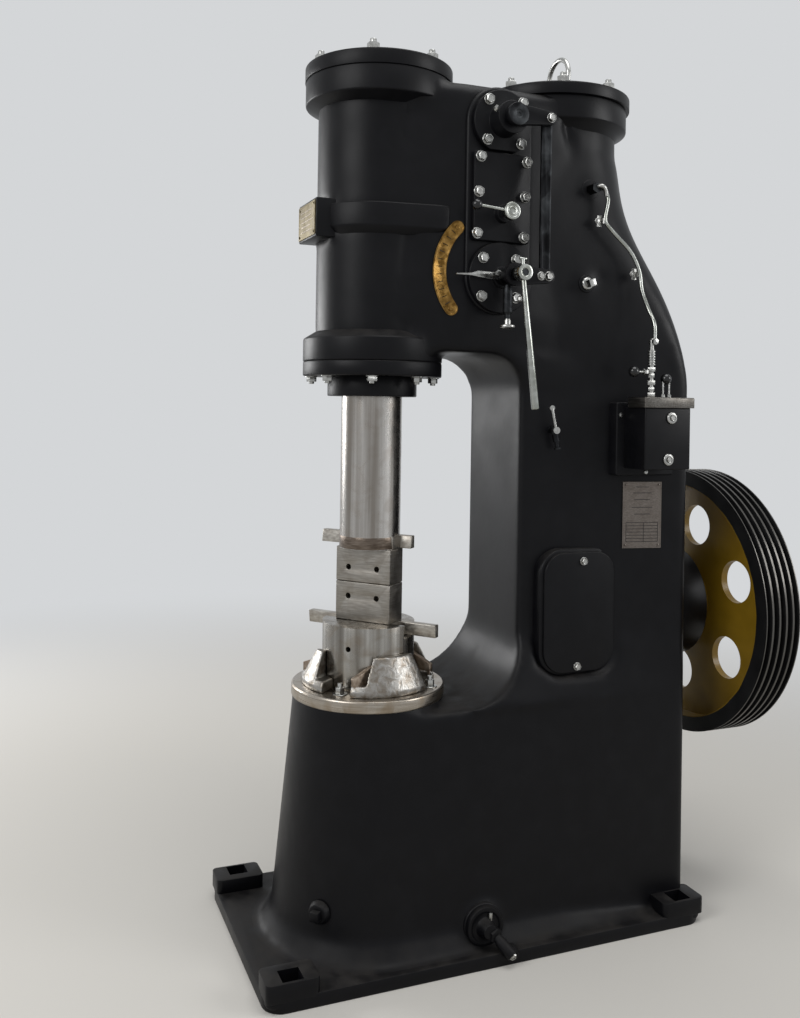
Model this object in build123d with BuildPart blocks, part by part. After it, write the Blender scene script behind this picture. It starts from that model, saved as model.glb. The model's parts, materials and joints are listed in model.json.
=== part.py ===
# Self-contained pneumatic power hammer, millimetres.
# +Z is up, the ram stands on the Z axis, -Y is the ram end and +Y the pulley end,
# +X is the side that carries the valve gear. The origin is on the floor under the ram.
from build123d import *
import math
import os

os.makedirs("parts", exist_ok=True)

# Clearances
run_gap = 0.06
slip_gap = 0.3
end_gap = 1.0
edge_break = 1.5
cap_round = 4.0

# Base plate and its anchor pockets
base_length = 1050.0
base_width = 538.0
base_front = 300.0
base_thickness = 28.0
base_corner = 42.0
pocket_length = 112.0
pocket_width = 74.0
pocket_height = 60.0
pocket_hole = 44.0
pocket_outer_wall = 6.5
pocket_clear = 12.0
pocket_corner = 22.0
foot_height = 40.0
foot_spread = 24.0
foot_merge = 4.0
body_foot_draft = 1.0

# Anvil column, a cone under the anvil ring
column_foot_radius = 218.0
column_top_radius = 173.0
column_top = 538.0
ring_radius = 176.0
ring_thickness = 28.0

# Crankcase and throat: the roof lies above the foot of the working cylinder
body_rear = 735.0
body_rear_half = 213.0
body_rear_corner = 16.0
throat_wall = 317.0
throat_half = 135.0
throat_floor = 530.0
throat_low_radius = 150.0
throat_floor_half = 190.0
throat_roof_rise = 23.0
throat_high_radius = 88.0
throat_roof_half = 150.0

# Front working cylinder
front_barrel_radius = 133.0
front_bore_radius = 98.0
front_flange_radius = 160.0
front_flange_bottom = 1299.0
front_flange_thickness = 51.0
front_flange_slope = 17.0
front_belt_bottom = 1593.0
front_belt_top = 1644.0
front_belt_depth = 12.0
front_belt_slope = 14.0
front_belt_reach = 105.0
front_belt_end = 3.0
belt_bite = 1.0
front_head_bottom = 1882.0
front_head_top = 1937.0
front_head_slope = 16.0
front_head_offset = 6.0
front_head_core = 150.0
front_head_radius = 168.0
front_cap_radius = 170.0
front_cap_thickness = 33.0
bottom_cover_thickness = 33.0
gland_radius = 103.0
gland_depth = 45.0

# Rear compressor cylinder
rear_axis_y = 465.0
rear_barrel_radius = 154.0
rear_neck = 1853.0
rear_flange_radius = 180.0
rear_flange_bottom = 1874.0
rear_flange_top = 1927.0
rear_cap_radius = 188.0
rear_cap_thickness = 28.0
eye_offset = 18.0
eye_collar_radius = 18.0
eye_collar_height = 24.0
eye_radius = 46.5
eye_bar_radius = 6.0

# Shoulder of the crankcase above the straight column: height above it, front half width,
# rear half width, corner radius, rear wall
shoulder = [
    (0.0, 135.0, 213.0, 16.0, 735.0),
    (106.0, 141.0, 210.0, 30.0, 729.0),
    (193.0, 148.0, 203.0, 55.0, 714.0),
    (268.0, 154.0, 193.0, 82.0, 694.0),
    (360.0, 160.0, 179.0, 118.0, 661.0),
    (472.0, 161.0, 161.0, 150.0, 635.0),
    (566.0, 155.0, 155.0, 150.0, 620.0),
]

# Neck between the cylinders and the raised pad that carries the valve covers
chest_half = 164.0
chest_face = 172.0
chest_pad_radius = 82.0
chest_front = 152.0
chest_rear = 318.0
chest_taper = 83.0
chest_top = 1926.0
chest_top_round = 30.0

# Sow block, collar and dies
sow_radius = 106.0
sow_top = 706.0
sow_hole_radius = 6.0
sow_hole_z = 659.0
sow_hole_depth = 40.0
collar_foot_radius = 153.0
collar_top_radius = 121.0
collar_foot_height = 12.0
collar_top = 646.0
collar_gap = 62.0
collar_gap_angles = (-50.0, 50.0, 130.0, 230.0)
sow_hole_angle = -45.0
die_angle = 40.0
die_length = 141.0
die_width = 64.0
lower_die_height = 89.0
upper_die_height = 79.0
die_closed_gap = 0.5
die_hole_radius = 6.5
die_hole_spacing = 74.0
die_hole_depth = 45.0
die_hole_drop = 33.0
tongue_width = 34.0
tongue_flare = 4.0
tongue_depth = 29.0
key_thickness = 20.0
lower_key_length = 338.0
lower_key_shift = -7.0
upper_key_length = 239.0
upper_key_shift = -22.0

# Ram
ram_radius = 70.0
piston_rise = 40.0
piston_height = 190.0

# Pulley, crankshaft end and bearing housing
shaft_z = 706.0
housing_radius = 139.0
housing_length = 118.0
pulley_gap = 8.0
pulley_width = 100.0
pulley_radius = 338.0
rim_depth = 38.0
web_offset = 40.0
web_thickness = 18.0
web_hole_count = 6
web_hole_radius = 52.0
web_hole_margin = 51.0
web_hole_start = 21.0
groove_count = 5
groove_depth = 17.0
groove_mouth = 15.0
groove_foot = 6.0
hub_radius = 82.0
shaft_radius = 42.0
shaft_nose_radius = 30.0
shaft_nose_length = 18.0

# Valve covers and valve axes, all square to X
cover_thickness = 14.0
valve_y = 234.0
upper_valve_z = 1836.0
small_valve_z = 1630.0
lower_valve_z = 1489.0
upper_cover_radius = 72.0
upper_cover_flat = 64.0
middle_cover_width = 140.0
middle_cover_height = 198.0
middle_cover_z = 1668.0
middle_cover_corner = 6.0
lower_cover_radius = 79.0
bonnet_radius = 36.0
bonnet_length = 46.0
small_boss_radius = 20.0
small_boss_length = 16.0
small_spindle_radius = 8.0
lower_boss_radius = 24.0
lower_boss_length = 10.0

# Linked valve arms
arm_length = 80.0
arm_hub_radius = 25.0
arm_end_radius = 15.0
arm_thickness = 14.0
arm_inner_x = 242.0
arm_pin_radius = 6.0
link_width = 25.0
link_thickness = 8.0
link_gap = 2.0
link_bore_gap = 0.4
spindle_radius = 13.0
pin_head_radius = 9.0
pin_head_height = 6.0

# Hand lever, pointer and plunger on the lower valve spindle
lever_inner_x = 272.0
lever_hub_radius = 17.0
lever_hub_length = 24.0
lever_length = 290.0
lever_lean = 7.0
lever_top_radius = 5.9
lever_end_radius = 8.8
sleeve_radius = 23.0
sleeve_length = 32.0
pointer_thickness = 10.0
pointer_hub_radius = 21.0
pointer_root = 15.0
pointer_tip = 3.0
pointer_length = 118.0
plunger_radius = 8.0
plunger_length = 68.0
plunger_disc_radius = 17.0
plunger_disc_thickness = 5.0

# Small valve handle
small_spindle_end = 236.0
small_hub_radius = 17.0
small_hub_length = 16.0
small_rod_radius = 3.5
small_rod_lean = 5.0
small_rod_length = 84.0
small_ball_radius = 12.0

# Brass scale on the neck, curved about a point near the lower valve spindle
scale_centre_y = 237.0
scale_centre_z = 1500.0
scale_thickness = 3.0
scale_radius = 138.0
scale_width = 30.0
scale_lowest_angle = 217.0
scale_highest_angle = 135.5

# Front plate block on the working cylinder
front_block_half = 67.0
front_block_y = -161.0
front_block_bottom = 1570.0
front_block_top = 1656.0
front_plate_margin = 5.0
front_plate_thickness = 2.0

# Access cover on the crankcase
access_y = 455.0
access_z = 729.0
access_width = 188.0
access_height = 278.0
access_corner = 52.0
access_face = 172.0
access_root = 20.0
access_cover_thickness = 8.0
access_margin = 8.0

# Lubricator on a pad of the side wall
oiler_pad_face = 206.0
oiler_pad_front = 530.0
oiler_pad_rear = 690.0
oiler_pad_bottom = 1046.0
oiler_pad_top = 1217.0
oiler_box_front = 552.0
oiler_box_rear = 676.0
oiler_box_bottom = 1064.0
oiler_box_top = 1205.0
oiler_box_depth = 80.0
oiler_lid_thickness = 24.0
oiler_lid_overhang = 6.0
oiler_lid_depth = 66.0
oiler_stack_x = 250.0
oiler_stack_y = 600.0
oiler_stack_height = 128.0
oiler_stem_radius = 5.0
oiler_glass_radius = 8.0
oiler_glass_low = 84.0
oiler_glass_height = 34.0
oiler_union_radius = 9.0
oiler_union_height = 12.0
oiler_unions = (4.0, 28.0, 52.0)
oiler_knob_radius = 11.0
oiler_knob_reach = 42.0
oiler_knob_height = 58.0
oiler_knob_stem = 2.5
oiler_handle_y = 640.0
oiler_handle_height = 36.0
oiler_handle_radius = 3.0
oiler_handle_half = 9.0

# Oil pipe and its elbow on the compressor barrel
pipe_radius = 4.5
pipe_lead = 14.0
pipe_drop = 42.0
pipe_inset = 6.75
bend_share = 0.45
elbow_y = 478.0
elbow_z = 1713.0
elbow_boss_radius = 24.0
elbow_boss_face = 162.0
elbow_radius = 11.0
elbow_length = 28.0
pipe_points = [
    (192.0, 508.0, 1688.0), (192.0, 499.0, 1648.0), (193.0, 499.0, 1632.0), (196.0, 525.0, 1606.0),
    (205.0, 565.0, 1567.0), (212.0, 584.0, 1520.0), (216.0, 585.0, 1478.0),
    (230.0, 598.0, 1428.0),
]

# Plug on the shoulder
plug_y = 464.0
plug_z = 1491.0
plug_boss_radius = 21.0
plug_boss_face = 174.0
plug_radius = 13.0
plug_length = 12.0
plug_square = 18.0
plug_square_length = 16.0
plug_square_turn = 20.0

# Petcock on the side wall
cock_y = 388.0
cock_z = 1150.0
cock_stem_radius = 7.0
cock_stem_length = 26.0
cock_lean = 12.0
cock_barrel_radius = 8.0
cock_barrel_above = 12.0
cock_barrel_below = 26.0
cock_spout_radius = 5.0
cock_spout_length = 14.0
cock_lip_radius = 8.0
cock_lip_length = 4.0
cock_handle_length = 52.0
cock_handle_radius = 3.2
cock_hub_radius = 8.0
cock_hub_length = 8.0
cock_eye_radius = 6.0
cock_eye_half = 2.2

# Data plate on the side wall
data_plate_y = 614.0
data_plate_z = 951.5
data_plate_width = 98.0
data_plate_height = 157.0
data_plate_thickness = 2.0

# Drain flange and cock at the foot of the lower body
drain_y = 195.0
drain_z = 72.0
drain_radius = 42.0
drain_margin = 1.0
drain_boss_face = 224.0
drain_flange_thickness = 10.0
drain_pipe_radius = 15.0
drain_pipe_length = 30.0
drain_outlet_out = 12.0
drain_outlet_back = 33.0
drain_outlet_drop = 40.0
drain_outlet_radius = 12.0
drain_cap_radius = 11.0
drain_cap_length = 14.0

# Side wall of the crankcase: it opens out towards the rear
wall_slope = (body_rear_half - throat_half) / (body_rear - throat_wall)
wall_lean = math.degrees(math.atan(wall_slope))


def wall_x(y):
    return throat_half + (y - throat_wall) * wall_slope


def wall_plane(y, z):
    """Plane on the side wall: local x runs rearwards, local y runs up, local z points out."""
    lean = math.radians(wall_lean)
    return Plane(
        origin=(wall_x(y), y, z),
        x_dir=(math.sin(lean), math.cos(lean), 0),
        z_dir=(math.cos(lean), -math.sin(lean), 0),
    )


def side_plane(x, y, z):
    """Plane square to X: local x runs rearwards, local y runs up, local z points out."""
    return Plane(origin=(x, y, z), x_dir=(0, 1, 0), z_dir=(1, 0, 0))


def neck_plane(z):
    """Plane on the neck's slanting side: local x runs rearwards, local y up, local z points out."""
    run = math.hypot(chest_half - front_barrel_radius, chest_front)
    along = ((chest_half - front_barrel_radius) / run, chest_front / run, 0)
    return Plane(origin=(front_barrel_radius, 0, z), x_dir=along, z_dir=(along[1], -along[0], 0))


def centred_plane(x, front, rear, bottom, top):
    """Plane square to X at the middle of a rectangle given by its Y and Z limits."""
    return side_plane(x, (front + rear) / 2, (bottom + top) / 2)


def finish(piece, name):
    """Label a finished piece and write its STEP file."""
    piece.part.label = name
    export_step(piece.part, f"parts/{name}.step")


def body_section(front_y, front_half, rear_y, rear_half, corner):
    """Plan of the crankcase at one height."""
    with BuildSketch() as plan:
        with BuildLine():
            Polyline(
                (-front_half, front_y), (front_half, front_y),
                (rear_half, rear_y), (-rear_half, rear_y), close=True,
            )
        make_face()
        rear = [v for v in plan.vertices() if v.Y > (front_y + rear_y) / 2]
        fillet(rear, radius=corner)
    return plan.sketch


def column_section(radius, rear_half):
    """Plan of the lower body: round under the anvil, square at the rear."""
    with BuildSketch() as plan:
        with BuildLine():
            nose = CenterArc((0, 0), radius, 180, 180)
            Polyline(nose @ 1, (rear_half, body_rear), (-rear_half, body_rear), nose @ 0)
        make_face()
        rear = [v for v in plan.vertices() if v.Y > body_rear / 2]
        fillet(rear, radius=body_rear_corner)
    return plan.sketch


base_middle = base_length / 2 - base_front
pocket_spacing = base_width - 2 * pocket_outer_wall - pocket_hole
body_foot_half = body_rear_half + body_foot_draft
throat_roof = front_flange_bottom + throat_roof_rise
front_flange_top = front_flange_bottom + front_flange_thickness
front_belt_radius = front_barrel_radius + front_belt_depth
belt_end_half = (
    front_barrel_radius + (chest_half - front_barrel_radius) * front_belt_reach / chest_front + front_belt_end
)
belt_chord = front_belt_radius - belt_bite
belt_turn = math.acos(belt_chord / math.hypot(belt_end_half, front_belt_reach))
belt_turn -= math.atan2(front_belt_reach, belt_end_half)
belt_side = belt_chord * math.cos(belt_turn)
belt_start = belt_chord * math.sin(belt_turn)
die_joint = sow_top + lower_die_height
throat_low = throat_floor + throat_low_radius
throat_high = throat_roof - throat_high_radius
wall_plan = (throat_wall, throat_half, body_rear, body_rear_half, body_rear_corner)
head_rear = rear_axis_y

# Neck between the cylinders: a flat on each side for the valve covers, drawn in towards the throat


def neck_section(half):
    """Plan of the neck for one half width of its flats."""
    with BuildSketch() as plan:
        with BuildLine():
            Polyline(
                (-half, chest_front), (-half, chest_rear),
                (-rear_barrel_radius, rear_axis_y), (rear_barrel_radius, rear_axis_y),
                (half, chest_rear), (half, chest_front),
                (front_barrel_radius, 0), (-front_barrel_radius, 0), close=True,
            )
        make_face()
    return plan.sketch


chest_bottom = throat_roof + chest_taper
with BuildPart() as neck:
    with BuildSketch(Plane.XY.offset(throat_roof)):
        add(neck_section(throat_roof_half))
    with BuildSketch(Plane.XY.offset(chest_bottom)):
        add(neck_section(chest_half))
    loft(ruled=True)
    with BuildSketch(Plane.XY.offset(chest_bottom)):
        add(neck_section(chest_half))
    extrude(amount=chest_top - chest_bottom)
    top_edges = neck.faces().sort_by(Axis.Z)[-1].edges()
    fillet(top_edges.filter_by(lambda edge: abs(edge.center().X) > 1), chest_top_round)

with BuildPart() as frame_casting:
    # base plate with a raised block at each anchor pocket
    with BuildSketch(Plane.XY):
        with Locations((0, base_middle)):
            RectangleRounded(base_width, base_length, base_corner)
    extrude(amount=base_thickness)
    with BuildSketch(Plane.XY):
        with Locations((0, base_middle)):
            with GridLocations(base_width - pocket_width, base_length - pocket_length, 2, 2):
                RectangleRounded(pocket_width, pocket_length, pocket_corner)
    extrude(amount=pocket_height)
    # lower body from the anvil column back to the rear wall
    with BuildSketch(Plane.XY.offset(base_thickness)):
        add(column_section(column_foot_radius, body_foot_half))
    with BuildSketch(Plane.XY.offset(throat_floor)):
        add(column_section(column_top_radius, body_rear_half))
    loft(ruled=True)
    # sloping foot of the lower body on the plate
    with BuildSketch(Plane.XY.offset(base_thickness)):
        add(column_section(column_foot_radius + foot_spread, body_foot_half + foot_spread))
    with BuildSketch(Plane.XY.offset(base_thickness + foot_height)):
        add(column_section(column_foot_radius - foot_merge, body_foot_half - body_foot_draft))
    loft(ruled=True)
    # round top of the anvil column
    with BuildSketch(Plane.XY.offset(throat_floor)):
        Circle(column_top_radius)
    extrude(amount=column_top - throat_floor)
    # root of the column above the throat floor
    with BuildSketch(Plane.XY.offset(throat_floor)):
        add(body_section(throat_wall - throat_low_radius, throat_floor_half, *wall_plan[2:]))
    with BuildSketch(Plane.XY.offset(throat_low)):
        add(body_section(*wall_plan))
    loft(ruled=True)
    # straight column
    with BuildSketch(Plane.XY.offset(throat_low)):
        add(body_section(*wall_plan))
    extrude(amount=throat_high - throat_low)
    # head of the column where it runs forward into the neck
    with BuildSketch(Plane.XY.offset(throat_high)):
        with BuildLine():
            Polyline(
                (-throat_half, throat_wall), (throat_half, throat_wall),
                (wall_x(head_rear), head_rear), (-wall_x(head_rear), head_rear), close=True,
            )
        make_face()
    with BuildSketch(Plane.XY.offset(throat_roof)):
        with BuildLine():
            Polyline(
                (-throat_roof_half, throat_wall - throat_high_radius),
                (throat_roof_half, throat_wall - throat_high_radius),
                (wall_x(head_rear), head_rear), (-wall_x(head_rear), head_rear), close=True,
            )
        make_face()
    loft(ruled=True)
    # shoulder from the crankcase up to the compressor barrel
    for rise, front_half, rear_half, corner, rear_y in shoulder:
        with BuildSketch(Plane.XY.offset(throat_high + rise)):
            add(body_section(throat_wall, front_half, rear_y, rear_half, corner))
    loft()
    add(neck.part)
    # compressor barrel with its coned flange
    with BuildSketch(Plane.XY.offset(throat_high)):
        with Locations((0, rear_axis_y)):
            Circle(rear_barrel_radius)
    extrude(amount=rear_flange_top - throat_high)
    with BuildSketch(Plane.XY.offset(rear_neck)):
        with Locations((0, rear_axis_y)):
            Circle(rear_barrel_radius)
    with BuildSketch(Plane.XY.offset(rear_flange_bottom)):
        with Locations((0, rear_axis_y)):
            Circle(rear_flange_radius)
    loft()
    with BuildSketch(Plane.XY.offset(rear_flange_bottom)):
        with Locations((0, rear_axis_y)):
            Circle(rear_flange_radius)
    extrude(amount=rear_flange_top - rear_flange_bottom)
    # working cylinder: foot flange with a sloping top, belt and head flange with sloping undersides
    with BuildSketch(Plane.XZ):
        with BuildLine():
            Polyline(
                (0, front_flange_bottom), (front_flange_radius, front_flange_bottom),
                (front_flange_radius, front_flange_top),
                (front_barrel_radius, front_flange_top + front_flange_slope),
                (front_barrel_radius, front_belt_bottom - front_belt_slope),
                (front_belt_radius, front_belt_bottom), (front_belt_radius, front_belt_top),
                (front_barrel_radius, front_belt_top),
                (front_barrel_radius, front_head_bottom - front_head_slope),
                (front_head_core, front_head_bottom), (front_head_core, front_head_top),
                (0, front_head_top), close=True,
            )
        make_face()
    revolve(axis=Axis.Z)
    # head flange, set a little to the rear of the bore
    with BuildSketch(Plane.XY.offset(front_head_bottom - front_head_slope)):
        Circle(front_barrel_radius - belt_bite)
    with BuildSketch(Plane.XY.offset(front_head_bottom)):
        with Locations((0, front_head_offset)):
            Circle(front_head_radius)
    loft()
    with BuildSketch(Plane.XY.offset(front_head_bottom)):
        with Locations((0, front_head_offset)):
            Circle(front_head_radius)
    extrude(amount=front_head_top - front_head_bottom)
    # belt carried on along the neck's sides, running out into them
    with BuildSketch(Plane.XY.offset(front_belt_bottom)):
        with BuildLine():
            Polyline(
                (0, -belt_start), (belt_side, -belt_start), (belt_end_half, front_belt_reach),
                (-belt_end_half, front_belt_reach), (-belt_side, -belt_start), close=True,
            )
        make_face()
    extrude(amount=front_belt_top - front_belt_bottom)
    # raised pad under the valve covers
    with BuildSketch(side_plane(0, valve_y, (upper_valve_z + lower_valve_z) / 2)):
        SlotCenterToCenter(upper_valve_z - lower_valve_z, 2 * chest_pad_radius, rotation=90)
    extrude(amount=chest_face)
    # flat boss for the access cover
    with BuildSketch(side_plane(throat_half - access_root, access_y, access_z)):
        RectangleRounded(
            access_width + 2 * access_margin, access_height + 2 * access_margin, access_corner + access_margin
        )
    extrude(amount=access_face - throat_half + access_root)
    # pads and bosses for the fittings on the near side
    with BuildSketch(
        centred_plane(throat_half, oiler_pad_front, oiler_pad_rear, oiler_pad_bottom, oiler_pad_top)
    ):
        Rectangle(oiler_pad_rear - oiler_pad_front, oiler_pad_top - oiler_pad_bottom)
    extrude(amount=oiler_pad_face - throat_half)
    with BuildSketch(side_plane(0, elbow_y, elbow_z)):
        Circle(elbow_boss_radius)
    extrude(amount=elbow_boss_face)
    with BuildSketch(side_plane(0, plug_y, plug_z)):
        Circle(plug_boss_radius)
    extrude(amount=plug_boss_face)
    with BuildSketch(side_plane(0, drain_y, drain_z)):
        Circle(drain_radius + drain_margin)
    extrude(amount=drain_boss_face)
    # block for the plate at the front of the working cylinder
    with BuildSketch(Plane.XY.offset(front_block_bottom)):
        with Locations((0, front_block_y / 2)):
            Rectangle(2 * front_block_half, -front_block_y)
    extrude(amount=front_block_top - front_block_bottom)
    # round throat corners
    with BuildSketch(Plane.YZ):
        with Locations((throat_wall - throat_low_radius, throat_low)):
            Circle(throat_low_radius)
    extrude(amount=base_width, both=True, mode=Mode.SUBTRACT)
    with BuildSketch(Plane.YZ):
        with Locations((throat_wall - throat_high_radius, throat_high)):
            Circle(throat_high_radius)
    extrude(amount=base_width, both=True, mode=Mode.SUBTRACT)
    # machined seats of the access cover and the drain flange
    with BuildSketch(side_plane(access_face, access_y, access_z)):
        RectangleRounded(
            access_width + 2 * access_margin, access_height + 2 * access_margin, access_corner + access_margin
        )
    extrude(amount=base_width, mode=Mode.SUBTRACT)
    with BuildSketch(side_plane(drain_boss_face, drain_y, drain_z)):
        Circle(drain_radius + drain_margin)
    extrude(amount=base_width, mode=Mode.SUBTRACT)
    # cylinder bore and anchor pockets
    with BuildSketch(Plane.XY.offset(front_flange_bottom)):
        Circle(front_bore_radius)
    extrude(amount=front_head_top - front_flange_bottom, mode=Mode.SUBTRACT)
    with BuildSketch(Plane.XY):
        with Locations((0, base_middle)):
            with GridLocations(pocket_spacing, base_length - pocket_length, 2, 2):
                Rectangle(pocket_hole, pocket_hole)
    extrude(amount=pocket_height + pocket_clear, mode=Mode.SUBTRACT)
finish(frame_casting, "frame_casting")

# Caps of the two cylinders and the lower end of the working cylinder
with BuildPart() as front_cap:
    with BuildSketch(Plane.XY.offset(front_head_top)):
        with Locations((0, front_head_offset)):
            Circle(front_cap_radius)
    extrude(amount=front_cap_thickness)
    fillet(front_cap.faces().sort_by(Axis.Z)[-1].edges(), cap_round)
finish(front_cap, "front_cylinder_cap")

with BuildPart() as rear_cap:
    with BuildSketch(Plane.XY.offset(rear_flange_top)):
        with Locations((0, rear_axis_y)):
            Circle(rear_cap_radius)
    extrude(amount=rear_cap_thickness)
    fillet(rear_cap.faces().sort_by(Axis.Z)[-1].edges(), cap_round)
finish(rear_cap, "compressor_cap")

rear_cap_top = rear_flange_top + rear_cap_thickness
eye_y = rear_axis_y + eye_offset
with BuildPart() as lifting_eye:
    with BuildSketch(Plane.XY.offset(rear_cap_top)):
        with Locations((0, eye_y)):
            Circle(eye_collar_radius)
    extrude(amount=eye_collar_height)
    with BuildSketch(Plane.XZ.offset(-eye_y)):
        with Locations((0, rear_cap_top + eye_collar_height + eye_radius - eye_bar_radius)):
            Circle(eye_radius + eye_bar_radius)
            Circle(eye_radius - eye_bar_radius, mode=Mode.SUBTRACT)
    extrude(amount=eye_bar_radius, both=True)
finish(lifting_eye, "lifting_eye")

with BuildPart() as bottom_cover:
    with BuildSketch(Plane.XY.offset(front_flange_bottom)):
        Circle(front_flange_radius)
        Circle(ram_radius + run_gap, mode=Mode.SUBTRACT)
    extrude(amount=-bottom_cover_thickness)
finish(bottom_cover, "cylinder_bottom_cover")

gland_top = front_flange_bottom - bottom_cover_thickness
with BuildPart() as gland:
    with BuildSketch(Plane.XY.offset(gland_top)):
        Circle(gland_radius)
        Circle(ram_radius + run_gap, mode=Mode.SUBTRACT)
    extrude(amount=-gland_depth)
    chamfer(gland.faces().sort_by(Axis.Z)[0].edges(), edge_break)
finish(gland, "ram_gland")

# Anvil ring, sow block and the collar that clamps it
with BuildPart() as anvil_ring:
    with BuildSketch(Plane.XY.offset(column_top)):
        Circle(ring_radius)
        Circle(sow_radius + slip_gap, mode=Mode.SUBTRACT)
    extrude(amount=ring_thickness)
    ring_outer = anvil_ring.edges().filter_by(GeomType.CIRCLE).group_by(SortBy.RADIUS)[-1]
    chamfer(ring_outer, 2 * edge_break)
finish(anvil_ring, "anvil_ring")

ring_top = column_top + ring_thickness
die_turn = math.radians(die_angle)
die_along = (math.cos(die_turn), math.sin(die_turn), 0)
die_across = (math.sin(die_turn), -math.cos(die_turn), 0)


def slot_plane(z):
    """Upright plane across the dies: local x points to the die's front face, local y up."""
    return Plane(origin=(0, 0, z), x_dir=die_across, z_dir=(-die_along[0], -die_along[1], 0))


def face_plane(z):
    """Plane on the dies' front face: local x runs along the die, local z points out."""
    reach = die_width / 2
    return Plane(origin=(die_across[0] * reach, die_across[1] * reach, z), x_dir=die_along, z_dir=die_across)


def wedge_outline(mouth, foot, depth):
    """Four-sided section between two x stations at the mouth and two at the foot."""
    with BuildSketch() as outline:
        with BuildLine():
            Polyline((mouth[0], 0), (mouth[1], 0), (foot[1], depth), (foot[0], depth), close=True)
        make_face()
    return outline.sketch


tongue_half = tongue_width / 2
flare_half = tongue_half + tongue_flare
slot_wall = tongue_half + key_thickness


def slot_outline(depth):
    return wedge_outline((-slot_wall, tongue_half), (-slot_wall, flare_half), depth)


def tongue_outline(depth):
    return wedge_outline((-tongue_half, tongue_half), (-flare_half, flare_half), depth)


def key_outline(depth):
    return wedge_outline((-slot_wall, -tongue_half), (-slot_wall, -flare_half), depth)


with BuildPart() as sow_block:
    with BuildSketch(Plane.XY.offset(column_top)):
        Circle(sow_radius)
    extrude(amount=sow_top - column_top)
    with BuildSketch(slot_plane(sow_top)):
        add(slot_outline(-tongue_depth))
    extrude(amount=2 * sow_radius, both=True, mode=Mode.SUBTRACT)
    hole_turn = math.radians(sow_hole_angle)
    hole_out = (math.cos(hole_turn), math.sin(hole_turn), 0)
    with BuildSketch(Plane(origin=(0, 0, sow_hole_z), z_dir=hole_out).offset(sow_radius)):
        Circle(sow_hole_radius)
    extrude(amount=-sow_hole_depth, mode=Mode.SUBTRACT)
finish(sow_block, "sow_block")

with BuildPart() as collar:
    with BuildSketch(Plane.XZ):
        with BuildLine():
            Polyline(
                (sow_radius + slip_gap, ring_top), (collar_foot_radius, ring_top),
                (collar_foot_radius, ring_top + collar_foot_height), (collar_top_radius, collar_top),
                (sow_radius + slip_gap, collar_top), close=True,
            )
        make_face()
    revolve(axis=Axis.Z)
    for angle in collar_gap_angles:
        with BuildSketch(Plane.XY.offset(ring_top).rotated((0, 0, angle))):
            with Locations((collar_foot_radius, 0)):
                Rectangle(2 * collar_foot_radius, collar_gap)
        extrude(amount=collar_top - ring_top, mode=Mode.SUBTRACT)
finish(collar, "anvil_collar")

# Dies: each has a tongue in a dovetail slot and a key driven in beside it
with BuildPart() as lower_die:
    with BuildSketch(Plane.XY.offset(sow_top).rotated((0, 0, die_angle))):
        Rectangle(die_length, die_width)
    extrude(amount=die_joint - sow_top)
    chamfer(lower_die.edges(), edge_break)
    with BuildSketch(slot_plane(sow_top)):
        add(tongue_outline(-tongue_depth))
    extrude(amount=die_length / 2, both=True)
    with BuildSketch(face_plane(die_joint - die_hole_drop)):
        with GridLocations(die_hole_spacing, 1, 2, 1):
            Circle(die_hole_radius)
    extrude(amount=-die_hole_depth, mode=Mode.SUBTRACT)
finish(lower_die, "lower_die")

with BuildPart() as lower_key:
    with BuildSketch(slot_plane(sow_top).offset(-lower_key_shift)):
        add(key_outline(-tongue_depth))
    extrude(amount=lower_key_length / 2, both=True)
finish(lower_key, "lower_key")

upper_die_foot = die_joint + die_closed_gap
ram_foot = upper_die_foot + upper_die_height
with BuildPart() as upper_die:
    with BuildSketch(Plane.XY.offset(upper_die_foot).rotated((0, 0, die_angle))):
        Rectangle(die_length, die_width)
    extrude(amount=upper_die_height)
    chamfer(upper_die.edges(), edge_break)
    with BuildSketch(slot_plane(ram_foot)):
        add(tongue_outline(tongue_depth))
    extrude(amount=die_length / 2, both=True)
    with BuildSketch(face_plane(upper_die_foot + die_hole_drop)):
        with GridLocations(die_hole_spacing, 1, 2, 1):
            Circle(die_hole_radius)
    extrude(amount=-die_hole_depth, mode=Mode.SUBTRACT)
finish(upper_die, "upper_die")

with BuildPart() as upper_key:
    with BuildSketch(slot_plane(ram_foot).offset(-upper_key_shift)):
        add(key_outline(tongue_depth))
    extrude(amount=upper_key_length / 2, both=True)
finish(upper_key, "upper_key")

piston_bottom = front_flange_bottom + piston_rise
with BuildPart() as ram:
    with BuildSketch(Plane.XY.offset(ram_foot)):
        Circle(ram_radius)
    extrude(amount=piston_bottom - ram_foot)
    with BuildSketch(Plane.XY.offset(piston_bottom)):
        Circle(front_bore_radius - run_gap)
    extrude(amount=piston_height)
    with BuildSketch(slot_plane(ram_foot)):
        add(slot_outline(tongue_depth))
    extrude(amount=2 * ram_radius, both=True, mode=Mode.SUBTRACT)
finish(ram, "ram")

# Bearing housing and belt pulley on the end of the crankshaft
housing_end = body_rear + housing_length
with BuildPart() as housing:
    with BuildSketch(Plane.XZ.offset(-body_rear)):
        with Locations((0, shaft_z)):
            Circle(housing_radius)
            Circle(shaft_radius + run_gap, mode=Mode.SUBTRACT)
    extrude(amount=-housing_length)
finish(housing, "bearing_housing")

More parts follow.
